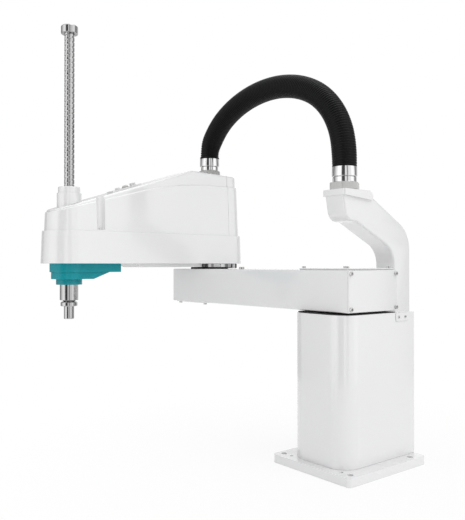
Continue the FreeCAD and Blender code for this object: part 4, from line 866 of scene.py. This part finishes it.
# %% Screw heads
cap_head = turned("cap head", (
    (0.96, 0.0), (1.0, 0.04), (1.0, 0.88), (0.96, 0.96), (0.88, 1.0), (0.62, 1.0), (hexed(1.0, 1.0), 0.95),
    (hexed(1.0, 1.0), 0.4), (0.05, 0.34)), Matrix.Identity(4), sides=24)
button_head = turned("button head", (
    (0.97, 0.0), (1.0, 0.1), (0.98, 0.3), (0.88, 0.66), (0.72, 0.9), (0.58, 1.0), (hexed(0.95, 1.0), 0.95),
    (hexed(0.95, 1.0), 0.3), (0.05, 0.26)), Matrix.Identity(4), sides=24)
pin_head = turned("pin head", ((1.0, 0.0), (1.0, 0.92), (0.7, 1.0)), Matrix.Identity(4), sides=12)
for template in (cap_head, button_head, pin_head):
    bpy.context.scene.collection.objects.unlink(template)


def fastened(name, head, radius, height, spots, body, slot, *stands_for):
    """Heads of one size on one body, at spots of a place and a facing."""
    start = bpy.data.meshes.new(name)
    start.from_pydata([Vector(place) * MM for place, _ in spots], [], [])
    facing = start.attributes.new("facing", "FLOAT_VECTOR", "POINT")
    for number, (_, way) in enumerate(spots):
        facing.data[number].vector = way
    piece = grown(fasteners, name, start, Head=head, Radius=radius, Height=height, Finish=finish_of[slot])
    shade(piece.data)
    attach(piece, body)
    if stands_for:
        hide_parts(*stands_for)


# each spot is a place in millimetres and the way its head faces
UP, DOWN, LEFT, BACK = (0, 0, 1), (0, 0, -1), (0, 1, 0), (-1, 0, 0)
SIDES = (-1, 1)
arm_1_spots = [((side * 96.2, 105.6, z), LEFT) for side in SIDES for z in (454.0, 549.6)]
arm_1_spots += [((side * 89.2, y, 564.4), UP) for side in SIDES for y in (-76.0, 87.0)]
arm_1_spots += [((side * 82.0, y, 441.0), DOWN) for side in SIDES for y in (-716.0, -566.0)]
fastened("arm_1_cap_screws", cap_head, 5.6, 5.5, arm_1_spots, "arm_1", "plated_steel", "arm_1_screws")
base_spots = [((-187.5, side * 74.0, z), BACK) for side in SIDES for z in (66.0, 214.0)]
base_spots += [((-193.0, side * 45.0, z), BACK) for side in SIDES for z in (345.0, 415.0)]
base_spots += [((x, 108.4, 424.5), LEFT) for x in (-107.5, -137.5)]
fastened("base_button_screws", button_head, 4.2, 2.6, base_spots, "base", "plated_steel", "base_screws")
pocket_spots = [((POCKET_X, SECOND_Y + side * 70.4, 684.0), UP) for side in SIDES]
fastened("arm_2_button_screws", button_head, 5.6, 3.3, pocket_spots, "arm_2", "plated_steel", "arm_2_screws")
print("screw heads:", len(arm_1_spots) + len(base_spots) + len(pocket_spots))

# %% [markdown]
# ## Slope panel
# On the slope of the second arm's cover sit a brake release button, a status lamp and two air couplers.
# Their outlines are turned in the slope's own frame, which leans with the cover.

# %% Slope panel
PANEL_MIDDLE_X, PANEL_MIDDLE_Z = 355.0, 826.674
SLOPE_ANGLE = math.radians(17.85)
slope = at(PANEL_MIDDLE_X, SECOND_Y, PANEL_MIDDLE_Z) @ Matrix.Rotation(SLOPE_ANGLE, 4, "Y")
lamp_spot = slope @ at(-5, 0)
button = turned("brake_button_finished", (
    (7.4, 3.3), (8.0, 3.9), (8.0, 8.2), (7.5, 9.0), (6.4, 9.3), (3.0, 8.9), (0.5, 8.8)), slope @ at(25, 0))
stand_in(button, "brake_button", light_plastic)
lens = turned("status_lamp_finished", (
    (10.0, 4.0), (10.0, 7.4), (9.4, 8.6), (8.0, 10.2), (5.6, 11.2), (2.6, 11.5), (0.4, 11.5)), lamp_spot)
stand_in(lens, "status_lamp")
bezel = turned("lamp_bezel", ((10.05, 4.0), (11.6, 4.0), (11.6, 5.2), (11.0, 5.8), (10.05, 5.8)), lamp_spot,
               hollow=True)
added(bezel, "arm_2", "grey_plastic")
couplers = turned("air_couplers_finished", (
    (5.0, 4.0), (5.0, 7.6), (4.5, 8.0), (4.5, 8.8), (5.0, 9.2), (5.0, 11.4), (4.4, 12.0), (2.9, 12.0),
    (2.5, 11.5), (2.5, 5.0), (0.4, 4.9)), slope @ at(-35, -10), slope @ at(-35, 10))
stand_in(couplers, "air_couplers", light_plastic)
print("slope panel: a button, a lamp with its bezel and two couplers")

# %% [markdown]
# ## Connectors on the back
# The connector panel carries a round signal plug with a threaded shell, a rectangular power plug with a pin
# insert, and three push-in air fittings. A plug without pins looks like an empty cup, so the round plug gets
# an insert, and both get brass pins, which the screw head recipe sets out again.

# %% Connectors on the back
PANEL_X = -187.5
SIGNAL_Y, SIGNAL_Z = -40.0, 168.8
THREAD_START, THREAD_PITCH = 6.5, 2.0
SIGNAL_PIN_FOOT, POWER_PIN_FOOT = PANEL_X - 16.0, PANEL_X - 15.5
TO_BACK = Matrix.Rotation(math.radians(-90), 4, "Y")
signal_place = at(PANEL_X, SIGNAL_Y, SIGNAL_Z) @ TO_BACK
air_spots = [at(PANEL_X, y, 100) @ TO_BACK for y in (-32, 0, 32)]

thread_rows = []
for ring in range(8):
    foot = THREAD_START + THREAD_PITCH * ring
    thread_rows += [(18.2, foot), (19.0, foot + 0.5), (19.0, foot + 1.0), (18.2, foot + 1.5)]
shell = turned("signal_connector_finished", (
    (18.6, 0.0), (18.6, 4.6), (17.8, 5.2), *thread_rows, (18.2, 24.6), (17.4, 26.0), (16.4, 26.0),
    (16.0, 25.6), (16.0, 13.0), (0.5, 13.0)), signal_place)
stand_in(shell, "signal_connector")
insert = turned("signal_insert", ((15.6, 13.1), (15.6, 15.6), (15.0, 16.2), (0.5, 16.2)), signal_place)
added(insert, "base", "black_plastic")
signal_spots = []
for reach, count in ((11.0, 12), (5.5, 6)):
    for number in range(count):
        around = math.tau * number / count
        place = (SIGNAL_PIN_FOOT, SIGNAL_Y + reach * math.cos(around), SIGNAL_Z + reach * math.sin(around))
        signal_spots.append((place, BACK))
fastened("signal_pins", pin_head, 0.75, 6.5, signal_spots, "base", "brass")

dressed("power_connector", 0.8)
power_spots = [((POWER_PIN_FOOT, y, z), BACK) for z in (161.0, 168.8, 176.6) for y in range(22, 60, 6)]
fastened("power_pins", pin_head, 1.1, 7.0, power_spots, "base", "brass")

fittings = turned("air_fittings_finished", (
    (hexed(11.4, 6.0), 0.0), (hexed(11.4, 6.0), 5.4), (5.3, 6.0), (5.3, 13.0), (5.8, 13.6), (5.8, 16.4),
    (5.0, 17.0), (5.0, 19.0), (4.0, 19.0), (4.0, 12.0), (3.0, 11.5), (0.4, 11.4)), *air_spots, sides=48)
stand_in(fittings, "air_fittings")
rings = turned("air_release_rings", (
    (3.1, 13.0), (3.9, 13.0), (3.9, 20.4), (4.9, 20.8), (4.9, 22.0), (3.5, 22.0)), *air_spots, sides=48,
    hollow=True)
added(rings, "base", "black_plastic")
print("pins:", len(signal_spots), "in the signal plug and", len(power_spots), "in the power plug")
